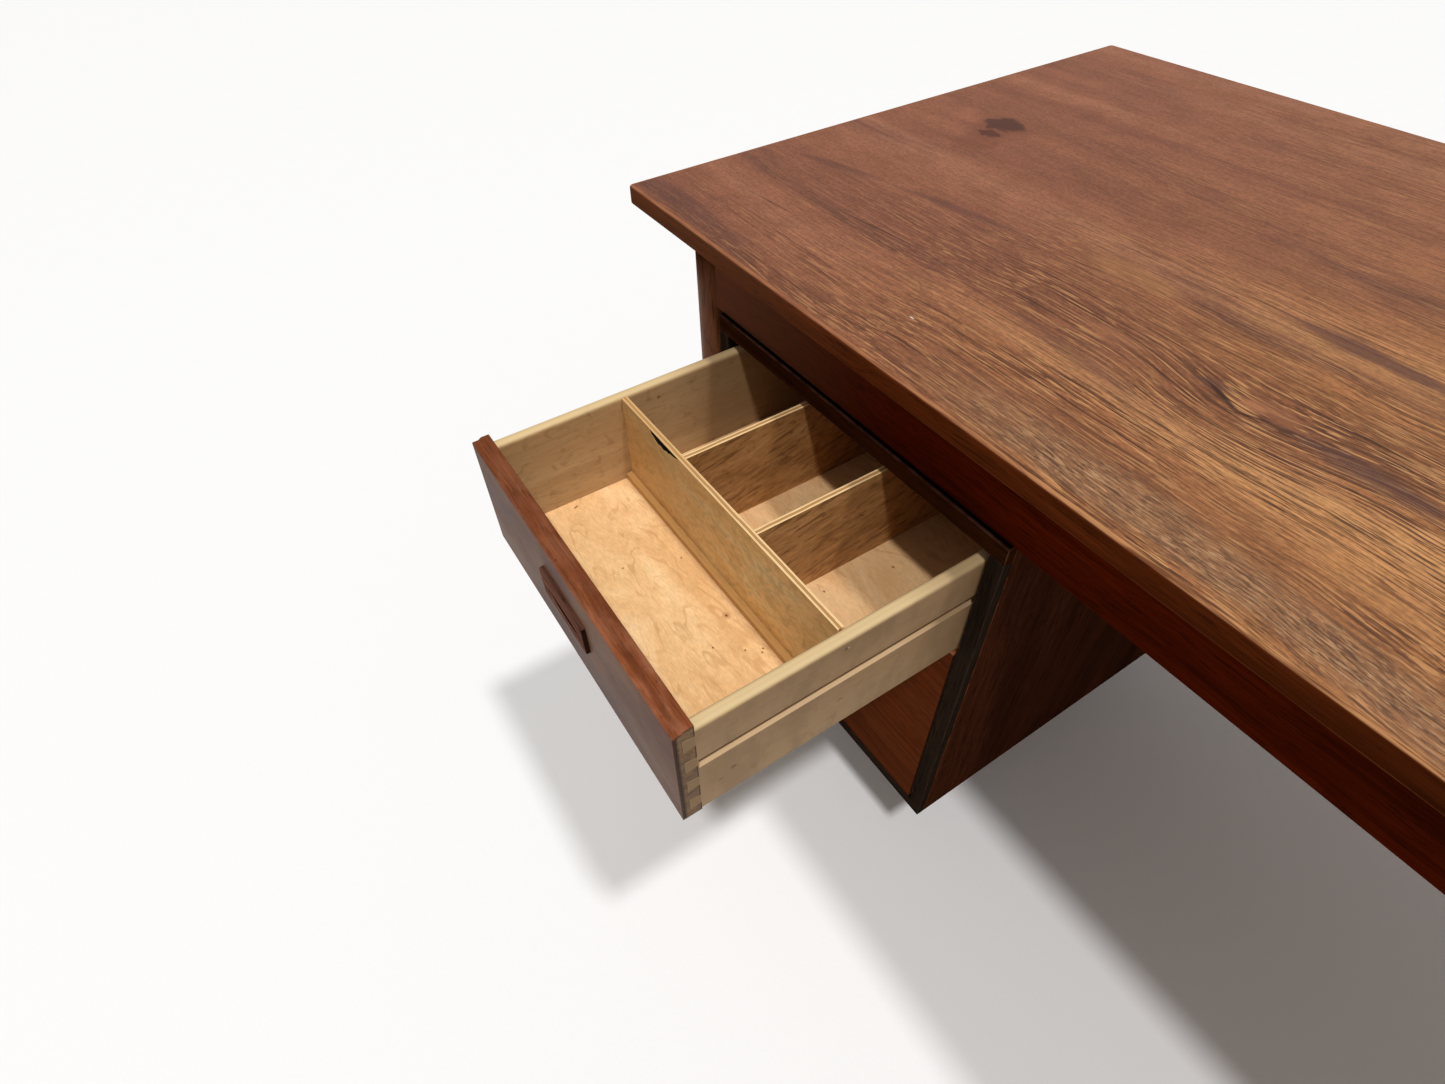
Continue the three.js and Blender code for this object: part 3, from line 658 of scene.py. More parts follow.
def pale_wood(name, along, seed, tones):
    """Beech in the solid: close grained and even, with soiled patches and small pin knots."""
    f = wood(
        name, along, tones, seed=seed, band=(0.9, 18), line=(2.0, 130), fibre=(20, 700),
        pore=(70, 700), line_depth=0.07, fibre_depth=0.07, pore_tone=(150, 108, 66),
        pore_share=0.3, roughness=(0.5, 0.62),
    )
    soil = f.cloud((8, 8, 10), detail=5)
    f.paint((176, 134, 88), f.fade(soil, 0.55, 0.75, 0.0, 0.35))
    pins(f, 34, 0.9, (96, 66, 40), 0.8)
    return f


def pale_top_and_lit_lip(f, height):
    """Upward faces along a drawer side's top edge are paler, partly wear and partly painted light,
    and the groove's upward lower lip gets a painted highlight. height is where that edge lies.
    """
    above = f.fade(f.behind(height, "Z"), -7 * MM, -5 * MM)
    facing_up = f.fade(f.facing("Z"), 0.25, 0.85)
    # Partly wear and partly painted light on the upward faces of the top edge.
    f.paint((236, 210, 160), facing_up, above, 0.7)
    # A painted highlight on the upward face of the groove's lower lip.
    lip = f.minus(1.0, above)
    f.paint((236, 206, 164), facing_up, lip, 0.55)


def pins(f, rate, radius, color, share):
    """Small dark pin knots: rate is cells per metre, radius is in millimetres."""
    cells = f.node("ShaderNodeTexVoronoi", {"Vector": f.place, "Scale": rate})
    uneven = f.noise(f.place, scale=500, detail=2)
    reach = f.plus(cells.outputs["Distance"], f.product(uneven, 0.02))
    dot = f.fade(reach, radius * MM * rate * 0.4, radius * MM * rate + 0.01, share, 0.0)
    chance = f.fade(f.apart(cells.outputs["Color"])["X"], 0.78, 0.8)
    f.paint(color, dot, chance)


def ply_edges(f, node, thin):
    """On a sheet's edges: two pale outer plies, a browner one between, and dark glue lines."""
    low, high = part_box(node)
    index = "XYZ".index(thin)
    depth = f.behind(low[index], thin)
    layer = f.math("DIVIDE", depth, high[index] - low[index])
    uneven = f.product(f.noise(f.place, scale=60, detail=4), 0.3)
    place = f.plus(f.minus(layer, 0.15), uneven)
    plies = f.ramp(
        place,
        [
            (0.0, (244, 212, 158)),
            (0.3, (236, 200, 144)),
            (0.36, (128, 84, 50)),
            (0.44, (196, 146, 96)),
            (0.58, (190, 138, 88)),
            (0.64, (124, 80, 46)),
            (0.7, (238, 202, 146)),
            (1.0, (244, 212, 158)),
        ],
    )
    edge = f.fade(f.absolute(f.facing(thin)), 0.4, 0.6, 1.0, 0.0)
    f.color = f.mix(edge, f.color, plies)


STROKE_SLANT = math.radians(12)


def plywood(name, node, thin, along, seed, tones, figure, mottle, strokes=0.0):
    """Rotary-cut face veneers, and an edge that shows the plies.

    thin is the axis across the sheet. figure is the share and the tone of the veneer's contours,
    mottle is how far its blotches darken it, and strokes is the share of its slanting streaks.
    """
    f = Finish(name)
    f.grain = f.grain_place(along, seed)
    ground = f.layer((7, 20), detail=5, rough=0.6, twist=1.2)
    swirl = f.layer((55, 85), detail=4, twist=1.6)
    fleck = f.layer((160, 900), detail=3)
    f.color = f.ramp(ground, evenly(0.34, 0.68, tones))
    f.shade(f.fade(swirl, 0.35, 0.6, 1 - mottle, 1 + mottle / 3))
    f.shade(f.fade(fleck, 0.35, 0.68, 0.9, 1.05))
    field = f.layer((3, 11), detail=4, twist=0.5)
    contour = f.math("SINE", f.product(field, 110.0))
    broken = f.fade(f.noise(f.grain, scale=30, detail=3), 0.42, 0.6)
    f.paint(figure[1], f.fade(contour, 0.72, 1.0), broken, figure[0])
    f.grain = f.mapped(f.grain, turn=(0, STROKE_SLANT, 0))
    stroke = f.layer((38, 260), detail=4, twist=0.8)
    f.paint(figure[1], f.fade(stroke, 0.52, 0.66, 0.0, strokes))
    f.paint(tones[-1], f.fade(stroke, 0.32, 0.46, strokes * 0.8, 0.0))
    pins(f, 30, 0.9, (104, 66, 34), 0.85)
    ply_edges(f, node, thin)
    f.height = f.plus(fleck, f.product(f.minus(swirl, stroke), 0.6))
    f.roughness = f.fade(ground, 0.3, 0.7, 0.42, 0.58)
    f.gloss(0.35)
    return f


def softwood():
    f = wood(
        "softwood", "Y", [(186, 144, 92), (206, 166, 112), (222, 186, 132)], seed=2.2,
        line=(1.4, 120), line_depth=0.35, pore_tone=(150, 108, 64), pore_share=0.3,
        roughness=(0.6, 0.75),
    )
    pins(f, 9, 3.5, (110, 66, 34), 0.9)
    return f.close(relief=0.3)


def zinc_steel():
    f = Finish("steel")
    mottled = f.noise(f.place, scale=900, detail=4)
    f.color = f.ramp(mottled, [(0.35, (120, 120, 122)), (0.65, (186, 186, 188))])
    f.height = mottled
    f.roughness = f.fade(mottled, 0.3, 0.7, 0.28, 0.5)
    f.shader.inputs["Metallic"].default_value = 1.0
    return f.close(relief=0.1, distance=0.05)


def front_core(drawer, seed):
    """A drawer front's lumber core, browned by age, with a dark joint before it and painted shade
    in the gap behind it.
    """
    f = wood(
        "core_" + drawer, "X", [(112, 84, 54), (130, 100, 66), (142, 112, 76)], seed=seed,
        pore=(60, 1000), pore_tone=(62, 40, 24), pore_share=0.5, roughness=(0.55, 0.7),
    )
    strip = f.cloud((1, 90, 700), detail=2)
    f.paint((74, 50, 28), f.fade(strip, 0.5, 0.64, 0.0, 0.8))
    low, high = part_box(drawer + "_front_core")
    glued = f.fade(f.behind(low.y, "Y"), 0.5 * MM, 2.6 * MM, 0.8, 0.0)
    # Painted shade in the gap behind the core, where it meets the side.
    shoulder_shade = f.fade(f.behind(high.y, "Y"), -1.3 * MM, -0.6 * MM, 0.0, 0.85)
    f.paint((40, 25, 13), f.math("MAXIMUM", glued, shoulder_shade))
    return f.close(relief=0.3)


# ---- the top, the underframe and the pedestal ----


LONG_SIDES = ("front", "back")
SIDES = LONG_SIDES + ("left", "right")


def make_top():
    eased("top_panel", teak_top(), arris=0.1)
    along_x = teak_edge("X")
    along_y = teak_edge("Y")
    for side in SIDES:
        eased("top_lipping_" + side, along_x if side in LONG_SIDES else along_y, arris=0.1)


LEG_TONES = ((84, 42, 22), (110, 62, 36), (126, 76, 46))
LEG_TAPER = 2 / 3  # foot radius over head radius
LEG_SEGMENTS = 96
LEG_RINGS = 12
LEG_FOOT_ROUND = 2.5
LEG_FOOT_STEPS = 5


def make_legs():
    finish = dark_teak("teak_leg", "Z", 5.5, LEG_TONES, 0.1)
    for place in ("front_left", "front_right", "back_left", "back_right"):
        node = "leg_" + place
        low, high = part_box(node)
        centre = Vector(((low.x + high.x) / 2, (low.y + high.y) / 2, 0))
        top_radius = (high.x - low.x) / 2
        foot_radius = top_radius * LEG_TAPER
        foot_round = quarter_round(LEG_FOOT_ROUND * MM, LEG_FOOT_STEPS)
        rings = [(foot_radius - inset, rise) for inset, rise in foot_round]
        for step in range(1, LEG_RINGS + 1):
            share = step / LEG_RINGS
            rings.append((foot_radius + (top_radius - foot_radius) * share, high.z * share))
        leg = lathe(centre, rings, LEG_SEGMENTS)
        add_piece(node + "_turned", leg, finish, node, creased=False)


APRON_TONES = ((58, 16, 3), (80, 23, 4), (97, 32, 8))


def make_underframe():
    along_x = dark_teak("teak_apron_x", "X", 6.1, APRON_TONES)
    along_y = dark_teak("teak_apron_y", "Y", 6.9, APRON_TONES)
    for side in SIDES:
        eased("apron_" + side, along_x if side in LONG_SIDES else along_y, arris=0.8)
    pine = softwood()
    for node in ("hanger_rail_left", "hanger_rail_right", "cross_rail_middle"):
        eased(node, pine, arris=0.6)
    eased("carcase_top", pine, arris=0.3)


CARCASE_TONES = ((40, 20, 12), (54, 27, 16), (67, 35, 21))
STILE_TONES = ((29, 21, 16), (36, 27, 20), (46, 35, 27))
STILE_ARRIS_TONE = (56, 41, 35)
STRIP_TONES = ((38, 17, 5), (47, 22, 7), (58, 28, 10))


def make_pedestal():
    upright = dark_teak("teak_carcase_z", "Z", 8.3, CARCASE_TONES)
    level = dark_teak("teak_carcase_x", "X", 9.2, CARCASE_TONES)
    for node in ("carcase_side_left", "carcase_side_right"):
        eased(node, upright, arris=0.6)
    for node in ("carcase_bottom", "carcase_back"):
        eased(node, level, arris=0.4)
    top_stain = black_stain("stain_top", "X", STRIP_TONES, (88, 60, 48))
    bottom_stain = black_stain("stain_bottom", "X", STILE_TONES, STILE_ARRIS_TONE)
    upright_stain = black_stain("stain_stiles", "Z", STILE_TONES, STILE_ARRIS_TONE)
    eased("frame_strip_top", top_stain, arris=0.9)
    eased("frame_strip_bottom", bottom_stain, arris=0.5)
    eased("frame_strip_left", upright_stain, arris=0.7)
    eased("frame_strip_right", upright_stain, arris=0.7)
    runner = pale_wood("beech_runner", "Y", 11.0, [(196, 152, 98), (216, 174, 120)])
    finish = runner.close(relief=0.25)
    for level_name in ("upper", "lower"):
        for side in ("left", "right"):
            eased(f"runner_{level_name}_{side}", finish, arris=0.8)


SCREW_SHANK = 2.5 * MM
SCREW_HEAD_HEIGHT = 4 * MM
SCREW_PLAIN = 12 * MM
SCREW_TIP = 3 * MM
SCREW_TURNS = 14
SCREW_ROOT = 0.78  # thread root over shank
SCREW_SEGMENTS = 24


def screw_rings(head, length):
    """(radius, height) of a screw that stands on its head, with its thread as turned ridges."""
    rings = [(head * 0.5, 0), (head * 0.86, 0.6 * MM), (head, 1.8 * MM)]
    rings += [(head, SCREW_HEAD_HEIGHT), (SCREW_SHANK, SCREW_HEAD_HEIGHT)]
    thread_start = SCREW_HEAD_HEIGHT + SCREW_PLAIN
    pitch = (length - thread_start - SCREW_TIP) / SCREW_TURNS
    for turn in range(SCREW_TURNS):
        base = thread_start + pitch * turn
        rings.append((SCREW_SHANK * SCREW_ROOT, base))
        rings.append((SCREW_SHANK, base + pitch * 0.5))
    rings.append((SCREW_SHANK * 0.2, length))
    return rings


def make_screws():
    finish = zinc_steel()
    for side in ("left", "right"):
        for end in LONG_SIDES:
            node = f"hanger_screw_{side}_{end}"
            low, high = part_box(node)
            centre = Vector(((low.x + high.x) / 2, (low.y + high.y) / 2, low.z))
            rings = screw_rings((high.x - low.x) / 2, high.z - low.z)
            screw = lathe(centre, rings, SCREW_SEGMENTS)
            add_piece(node + "_turned", screw, finish, node, creased=False)


# ---- the drawers ----

CAP_COLUMN = 1.5
CAP_ROUND = 1.0
CAP_TURN_STEPS = 4
CAP_FLAT_STEPS = 16
CAP_RISE_START = 5.5
CAP_RISE_LENGTH = 4.0
NICK_SEED = 12
NICK_LEVEL = 0.28
NICK_DEPTH = 1.6
NICK_DEEPEST = 0.7


def cap_height(depth):
    """Height of the cap's upper side over its front part, depth millimetres behind the face."""
    share = min(max((depth - CAP_RISE_START) / CAP_RISE_LENGTH, 0), 1)
    return CAP_STEP / MM * share * share * (3 - 2 * share)


def make_cap(drawer, finish):
    """The strip over the front's top edge, with its step, rounded arrises and small nicks."""
    node = drawer + "_front_cap"
    low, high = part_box(node)
    depth = (high.y - low.y) / MM
    base = (high.z - low.z - CAP_STEP) / MM
    upper = base + CAP_STEP / MM
    arris = quarter_round(CAP_ROUND, CAP_TURN_STEPS)
    section = [(back, base - drop) for drop, back in arris]
    for step in range(1, CAP_FLAT_STEPS):
        back = CAP_ROUND + (depth - 2 * CAP_ROUND) * step / CAP_FLAT_STEPS
        section.append((back, base + cap_height(back)))
    section += [(depth - inset, upper - drop) for inset, drop in arris]
    under = [(back, max(height - base, 0)) for back, height in reversed(section)]
    profile = section + under[1:-1]
    columns = int((high.x - low.x) / MM / CAP_COLUMN)
    outlines = []
    for column in range(columns + 1):
        x = low.x + (high.x - low.x) * column / columns
        outline = []
        for index, (back, height) in enumerate(profile):
            point = Vector((x, low.y + back * MM, low.z + height * MM))
            if index < len(section):
                nick = noise.noise(Vector((x * 140, back * 0.35, NICK_SEED)))
                point.z -= min(max(nick - NICK_LEVEL, 0) * NICK_DEPTH, NICK_DEEPEST) * MM
            outline.append(point)
        outlines.append(outline)
    add_piece(node + "_worked", loft(outlines), finish, node)


PULL_ARRIS = 0.8
PULL_ARRIS_STEPS = 3
PULL_END_STEPS = 4
PULL_FLAT_STEPS = 6
PULL_COLUMNS = 96
PULL_LIP = 14.0  # tips of the scoop below the pull's top edge
SCOOP_HALF = 35.0
SCOOP_DROP = 15.0
SCOOP_ARCH = 1.5
SCOOP_DEPTH = 8.0
SCOOP_TAPER = 0.6
SCOOP_UNDERCUT = 2.6
SCOOP_STEPS = 14
SCOOP_LIP_STEPS = 4
SCOOP_LIP_BULGE = 0.35
SCOOP_PLAY = 0.15


def pull_column(x, half, low, high):
    """(set back, height) down the pull's front, from its foot, in millimetres.

    x is measured from the pull's middle, half is half its length, and low and high are its ends.
    """
    share = max(1 - (x / SCOOP_HALF) ** 2, 0)
    tip = high - PULL_LIP
    floor = tip - SCOOP_DROP * share - SCOOP_PLAY
    roof = tip + SCOOP_ARCH * share + SCOOP_PLAY
    deep = SCOOP_DEPTH * share**SCOOP_TAPER
    undercut = SCOOP_UNDERCUT * share
    start = low + PULL_ARRIS
    end = high - PULL_ARRIS
    arris = quarter_round(PULL_ARRIS, PULL_ARRIS_STEPS)
    points = [(back, low + rise) for back, rise in arris]
    for step in range(1, PULL_FLAT_STEPS + 1):
        points.append((0, start + (floor - start) * step / PULL_FLAT_STEPS))
    for step in range(1, SCOOP_STEPS + 1):
        up = step / SCOOP_STEPS
        sunk = deep * math.sin(up * math.pi / 2) ** 1.25
        points.append((sunk, floor + (roof - floor) * up + undercut * up**4))
    for step in range(1, SCOOP_LIP_STEPS + 1):
        inward = 1 - step / SCOOP_LIP_STEPS
        bulge = SCOOP_LIP_BULGE * share * (1 - inward) * inward
        points.append((deep * inward + bulge, roof + undercut * inward**1.5))
    for step in range(1, PULL_FLAT_STEPS + 1):
        points.append((0, roof + (end - roof) * step / PULL_FLAT_STEPS))
    points += [(back, high - drop) for drop, back in arris[1:]]
    past = max(abs(x) - half + PULL_ARRIS, 0)
    end_back = PULL_ARRIS * (1 - math.sqrt(max(1 - past**2 / PULL_ARRIS**2, 0)))
    return [(back + end_back, height) for back, height in points]


def make_pull(drawer, finish):
    """The pull: a proud block whose scoop runs in under its upper lip."""
    node = drawer + "_pull"
    low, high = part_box(node)
    middle = (low.x + high.x) / 2
    half = (high.x - low.x) / 2 / MM
    flat = half - PULL_ARRIS
    ends = [inset - half for _, inset in quarter_round(PULL_ARRIS, PULL_END_STEPS)]
    inner = [-flat + 2 * flat * step / PULL_COLUMNS for step in range(1, PULL_COLUMNS)]
    outlines = []
    for x in ends + inner + [-x for x in reversed(ends)]:
        across = middle + x * MM
        column = pull_column(x, half, low.z / MM, high.z / MM)
        outline = [(across, low.y + back * MM, height * MM) for back, height in column]
        outlines.append(outline + [(across, high.y, high.z), (across, high.y, low.z)])
    add_piece(node + "_carved", loft(outlines), finish, node)


def pull_teak(drawer):
    """The pull's teak: painted shade makes it black in the slit under its lip and at its ends, and
    it is pale along the lip, partly wear and partly a painted highlight.
    """
    f = wood(
        "teak_" + drawer + "_pull", "X", [(96, 63, 51), (114, 77, 63), (130, 91, 75)],
        seed=24.0, pore_tone=(34, 16, 10), pore_share=0.7, roughness=(0.5, 0.62), specular=0.0,
    )
    low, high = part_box(drawer + "_pull")
    from_middle = f.absolute(f.behind((low.x + high.x) / 2, "X"))
    within = f.fade(from_middle, (SCOOP_HALF - 1.0) * MM, (SCOOP_HALF + 1.5) * MM, 1.0, 0.0)
    spread = f.math("DIVIDE", from_middle, SCOOP_HALF * MM)
    arch = f.minus(SCOOP_ARCH * MM, f.product(spread, spread, SCOOP_ARCH * MM))
    above_roof = f.minus(f.behind(high.z - PULL_LIP * MM, "Z"), arch)
    inside = f.math("MAXIMUM", f.minus(1.0, f.product(spread, spread)), 0.02)
    deepest = f.product(f.math("POWER", inside, SCOOP_TAPER), SCOOP_DEPTH * MM)
    sunk = f.math("DIVIDE", f.behind(low.y, "Y"), deepest)
    under_lip = f.fade(above_roof, 3.0 * MM, 5.0 * MM, 1.0, 0.0)
    # Painted shade: black in the deep slit under the lip.
    slit_shade = f.product(f.fade(sunk, 0.1, 0.18), within, under_lip, 0.93)
    f.paint((24, 11, 8), slit_shade)
    # Partly wear and partly a painted highlight along the lip's edge.
    lip = f.product(
        f.fade(above_roof, 0.0, 0.3 * MM),
        f.fade(above_roof, 1.0 * MM, 1.5 * MM, 1.0, 0.0),
        f.fade(sunk, 0.05, 0.15, 1.0, 0.0),
    )
    f.paint((168, 130, 112), lip, within, 0.7)
    # Painted shade on the pull's end faces.
    f.paint((30, 15, 10), f.ends("X"), 0.9)
    return f.close(relief=0.2)


def make_drawer(drawer, front, core, side, inside):
    eased(drawer + "_front_face", front, arris=0.3)
    eased(drawer + "_front_core", core, arris=0.15)
    make_cap(drawer, cap_teak(drawer))
    make_pull(drawer, pull_teak(drawer))
    for hand in ("left", "right"):
        eased(f"{drawer}_side_{hand}", side, arris=0.3)
    eased(drawer + "_back", inside, arris=0.6)


CHIP_START = 67.0  # from the drawer front's left end
CHIP_LENGTH = 56.0
CHIP_DEPTH = 2.4
CHIP_DROP = 8.0
CHIP_BELOW_TOP = 1.0
CHIP_STEPS = 18


def along_chip(share):
    """The X of a place along the chip, with 0 at its left end and 1 at its right end."""
    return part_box("upper_drawer_front_face")[0].x + (CHIP_START + CHIP_LENGTH * share) * MM


def chip_cutter(face_y, top_z):
    """A ragged wedge of the divider's front ply, torn out just below its top edge."""
    lower = []
    upper = []
    for step in range(CHIP_STEPS + 1):
        share = step / CHIP_STEPS
        x = along_chip(share)
        jag = noise.noise(Vector((step * 0.9, 3.3, 0)))
        drop = CHIP_DROP * math.sin(math.pi * share**0.62) * (1 + 0.35 * jag)
        lower.append((x, top_z - (CHIP_BELOW_TOP + 0.2 + max(drop, 0.15)) * MM))
        upper.append((x, top_z - CHIP_BELOW_TOP * MM))
    outline = lower + upper[::-1]
    near = [(x, face_y - 1 * MM, z) for x, z in outline]
    far = [(x, face_y + CHIP_DEPTH * MM, z) for x, z in outline]
    return new_object("chip_cutter", new_mesh("chip_cutter", loft([near, far])))


DIVIDER_TONES = [(238, 188, 117), (252, 207, 140), (255, 225, 168)]
SHORT_TONES = [(158, 110, 62), (178, 128, 76), (198, 148, 94)]
SHEET_TONES = [(232, 184, 128), (242, 198, 144), (250, 212, 160)]


def darken_chip(f, face_y, top_z):
    """Painted shade inside the chip: the wood there is darkened."""
    depth = f.behind(face_y, "Y")
    inside = f.fade(depth, 0.25 * MM, 0.6 * MM)
    away = f.absolute(f.behind(along_chip(0.5), "X"))
    half = CHIP_LENGTH / 2
    beside = f.fade(away, half * MM, (half + 0.6) * MM, 1.0, 0.0)
    below = f.fade(f.apart(f.place)["Z"], top_z - 0.95 * MM, top_z - 0.8 * MM, 1.0, 0.0)
    front_half = f.fade(depth, 3.0 * MM, 3.4 * MM, 1.0, 0.0)
    f.paint((28, 18, 14), inside, beside, below, front_half)


def make_dividers():
    name = "upper_drawer_divider_long"
    figure = (0.2, (172, 124, 70))
    f = plywood("birch_ply_long", name, "Y", "X", 12.0, DIVIDER_TONES, figure, 0.18, strokes=0.2)
    low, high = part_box(name)
    # Painted shadow: darker towards the left end, where the left side shades it.
    f.paint((188, 140, 80), f.fade(f.behind(low.x, "X"), 40 * MM, 250 * MM, 0.55, 0.0))
    darken_chip(f, low.y, high.z)
    piece = add_piece(name + "_eased", bare_copy(name), f.close(relief=0.2), name)
    carve(piece, chip_cutter(low.y, high.z))

    batten = pale_wood("beech_batten", "X", 13.0, [(198, 148, 88), (214, 166, 104)])
    eased("upper_drawer_divider_batten", batten.close(relief=0.2), arris=0.5)
    for index in (1, 2):
        node = f"upper_drawer_divider_short_{index}"
        name = f"birch_ply_short_{index}"
        figure = (0.3, (108, 66, 32))
        f = plywood(name, node, "X", "Y", 14.0 + index, SHORT_TONES, figure, 0.12, strokes=0.75)
        eased(node, f.close(relief=0.2), arris=0.2)


SHEET_MARK_HEIGHT = 20
PIN_HOLES = ((406, -162), (424, -140), (431, -126), (434, -129), (300, -131), (280, -184))
CHIPS = ((410, -43), (423, 29))


def mark_upper_bottom(f, floor):
    """A darker, greyer floor behind the long divider, a knot, a pen stroke, and pins and chips."""
    divider_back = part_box("upper_drawer_divider_long")[1].y
    f.paint((178, 140, 104), f.fade(f.behind(divider_back, "Y"), 0.0, 1 * MM, 0.0, 0.3))

    def dot(x, y, size, color, share, **shape):
        place = on_top(x, y)
        place.z = floor
        f.mark(place, size + (SHEET_MARK_HEIGHT,), color, share, **shape)

    dot(383, -133, (5.5, 4.5), (196, 142, 92), 0.8)
    dot(383, -133, (1.8, 1.5), (92, 58, 34), 0.95)
    dot(179, -185, (1.0, 3.4), (84, 52, 32), 0.95, ragged=0.1, turn=20)
    for x, y in PIN_HOLES:
        dot(x, y, (1.3, 1.1), (96, 60, 34), 0.95)
    for x, y in CHIPS:
        dot(x, y, (2.0, 1.3), (98, 66, 42), 0.9)


def make_bottoms():
    for drawer, seed in (("upper_drawer", 16.0), ("lower_drawer", 19.0)):
        node = drawer + "_bottom"
        figure = (0.4, (190, 136, 80))
        f = plywood("birch_ply_" + drawer, node, "Z", "X", seed, SHEET_TONES, figure, 0.06)
        if drawer == "upper_drawer":
            mark_upper_bottom(f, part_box(node)[1].z)
        eased(node, f.close(relief=0.15), arris=0.2)


SIDE_TONES = [(166, 132, 92), (184, 150, 108), (198, 166, 124)]


def drawer_side(name, drawer, seed):
    """A drawer side: soiled and patchy outside, browned at its tails, pale along its top edge, and
    darker towards its rear with painted shade.
    """
    f = pale_wood(name, "Y", seed, SIDE_TONES)
    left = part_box(drawer + "_side_left")[0]
    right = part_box(drawer + "_side_right")[1]
    middle = (left.x + right.x) / 2
    half = (right.x - left.x) / 2
    away = f.absolute(f.behind(middle, "X"))
    outside = f.fade(away, half - 7 * MM, half - 5 * MM)
    f.paint((112, 88, 61), outside, 0.6)
    blocks = f.cloud((1, 34, 14), detail=3)
    f.paint((96, 74, 50), f.fade(blocks, 0.4, 0.6, 0.28, 0.0), outside)
    scuffs = f.cloud((60, 60, 60), detail=5, twist=0.6)
    f.paint((128, 96, 62), f.fade(scuffs, 0.56, 0.7, 0.0, 0.4))
    pale_top_and_lit_lip(f, right.z)
    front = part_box(drawer + "_front_face")[0].y
    tails = f.fade(f.behind(front, "Y"), 16.6 * MM, 17.4 * MM, 0.86, 0.0)
    f.paint((124, 97, 64), tails)
    f.paint((206, 178, 132), tails, f.eased_faces(), 0.8)
    # Painted shade: darker towards the rear, in the frame's shadow.
    f.paint((124, 96, 66), f.fade(f.behind(front, "Y"), 190 * MM, 260 * MM, 0.0, 0.45))
    return f


SIDE_MARK_DEPTH = 9


def upper_side():
    f = drawer_side("beech_side_upper", "upper_drawer", 10.0)
    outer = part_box("upper_drawer_side_right")[1].x
    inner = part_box("upper_drawer_side_left")[1].x
    knot = (92, 64, 38)

    def spot(x, back, down, size, color, share):
        place = Vector((x, TOP_CORNER.y + back * MM, TOP_CORNER.z - down * MM))
        f.mark(place, (SIDE_MARK_DEPTH,) + size, color, share)

    spot(outer, -114, 129, (2.2, 2.0), knot, 0.9)
    spot(outer, -112, 129, (1.0, 0.9), (214, 190, 150), 0.8)
    spot(outer, -181, 110, (3.4, 1.3), (116, 86, 54), 0.75)
    spot(outer, -113, 198, (4.0, 3.0), (124, 92, 58), 0.7)
    spot(outer, -214, 201, (3.6, 2.2), knot, 0.85)
    spot(outer, -225, 209, (3.0, 2.4), (114, 84, 52), 0.7)
    spot(inner, -73, 136, (2.6, 2.2), (112, 82, 50), 0.8)
    spot(inner, -103, 176, (4.0, 3.0), (118, 84, 50), 0.6)
    return f.close(relief=0.2)


UPPER_TONES = [(70, 34, 18), (86, 45, 26), (101, 56, 34)]
LOWER_TONES = [(66, 28, 11), (80, 36, 15), (93, 44, 20)]


def make_drawers():
    lower_side = drawer_side("beech_side_lower", "lower_drawer", 10.6).close(relief=0.2)
    inside = pale_wood("beech_back", "X", 21.0, SIDE_TONES).close(relief=0.2)
    # The upper face carries painted sheen; the lower one almost none.
    upper_face = teak_front("teak_face_upper", UPPER_TONES, 0.4, 17.0, 0.08)
    lower_face = teak_front("teak_face_lower", LOWER_TONES, 0.03, 18.0, 0.0)
    upper_core = front_core("upper_drawer", 22.0)
    make_drawer("upper_drawer", upper_face, upper_core, upper_side(), inside)
    lower_core = front_core("lower_drawer", 23.0)
    make_drawer("lower_drawer", lower_face, lower_core, lower_side, inside)


# ---- camera, light and floor ----

EYE = Vector((760.5, -362.1, 351.8)) * MM  # from the desktop's front left corner
HEADING = math.radians(58.856)  # from +Y towards -X
PITCH = math.radians(47.126)  # below the horizon
ROLL = math.radians(-2.281)
LENS = 19.89
SENSOR = 36.0


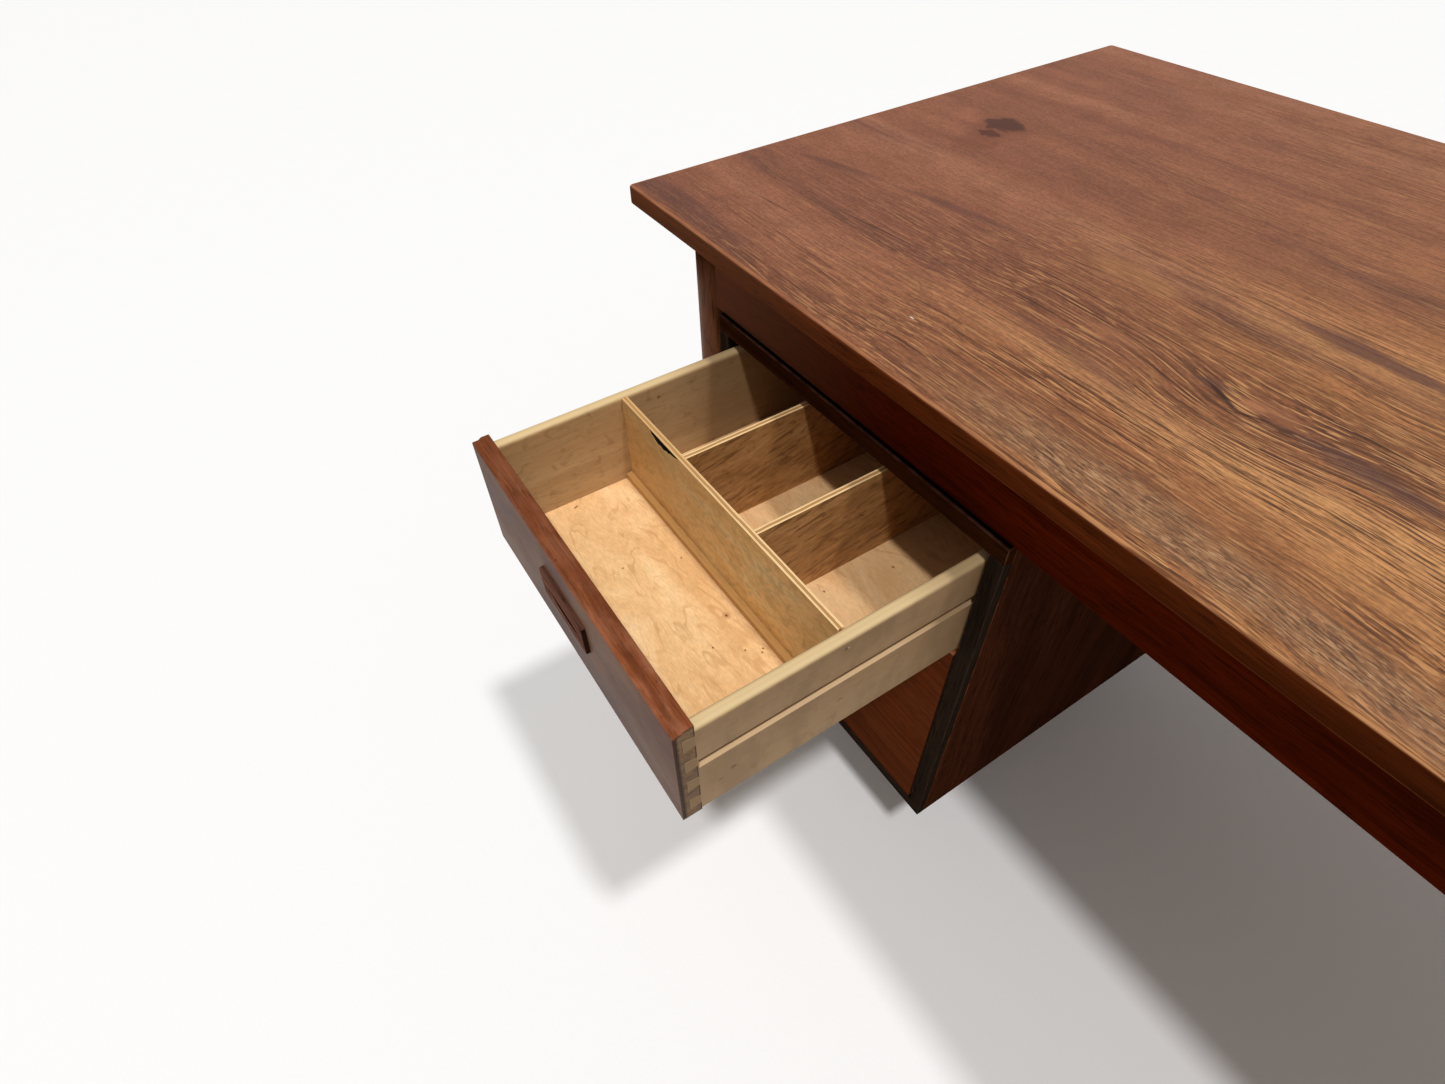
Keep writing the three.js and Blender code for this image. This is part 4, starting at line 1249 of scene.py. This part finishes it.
def make_camera():
    data = bpy.data.cameras.new("camera")
    data.lens = LENS
    data.sensor_width = SENSOR
    data.sensor_fit = "HORIZONTAL"
    data.clip_start = 0.01
    camera = new_object("camera", data)
    turn = (
        Matrix.Rotation(HEADING, 4, "Z")
        @ Matrix.Rotation(math.pi / 2 - PITCH, 4, "X")
        @ Matrix.Rotation(ROLL, 4, "Z")
    )
    camera.matrix_world = Matrix.Translation(TOP_CORNER + EYE) @ turn
    bpy.context.scene.camera = camera


SUN_WIDTH = math.radians(4)
SUN_COLOR = (1.0, 0.98, 0.95)


def make_sun(name, toward, strength):
    """A far light that shines from toward, which is a direction."""
    data = bpy.data.lights.new(name, "SUN")
    data.energy = strength
    data.angle = SUN_WIDTH
    data.color = SUN_COLOR
    light = new_object(name, data)
    light.rotation_mode = "QUATERNION"
    light.rotation_quaternion = Vector(toward).to_track_quat("Z", "Y")


ROOM_COLOR = (1.0, 0.965, 0.9, 1.0)
ROOM_STRENGTH = 0.3
FLOOR_HALF = 30.0


def make_studio():
    make_sun("ceiling_back", (0.33, 0.096, 1.0), 1.27)
    make_sun("ceiling_front", (0.36, -0.25, 1.0), 1.51)
    world = bpy.data.worlds.new("studio")
    world.use_nodes = True
    background = world.node_tree.nodes["Background"]
    background.inputs["Color"].default_value = ROOM_COLOR
    background.inputs["Strength"].default_value = ROOM_STRENGTH
    bpy.context.scene.world = world
    bpy.context.scene.view_settings.view_transform = "Standard"

    f = Finish("floor")
    grit = f.noise(f.place, scale=300)
    f.color = f.ramp(grit, [(0.3, (241, 243, 247)), (0.7, (243, 245, 249))])
    f.height = f.noise(f.place, scale=400)
    f.roughness = f.fade(f.noise(f.place, scale=20), 0.3, 0.7, 0.75, 0.85)
    finish = f.close(relief=0.02)
    mesh = bmesh.new()
    corners = [(-1, -1), (1, -1), (1, 1), (-1, 1)]
    mesh.faces.new([mesh.verts.new((x * FLOOR_HALF, y * FLOOR_HALF, 0)) for x, y in corners])
    data = new_mesh("floor", mesh)
    data.materials.append(finish)
    new_object("floor", data)


make_top()
make_legs()
make_underframe()
make_pedestal()
make_screws()
make_drawers()
make_bottoms()
make_dividers()
make_camera()
make_studio()
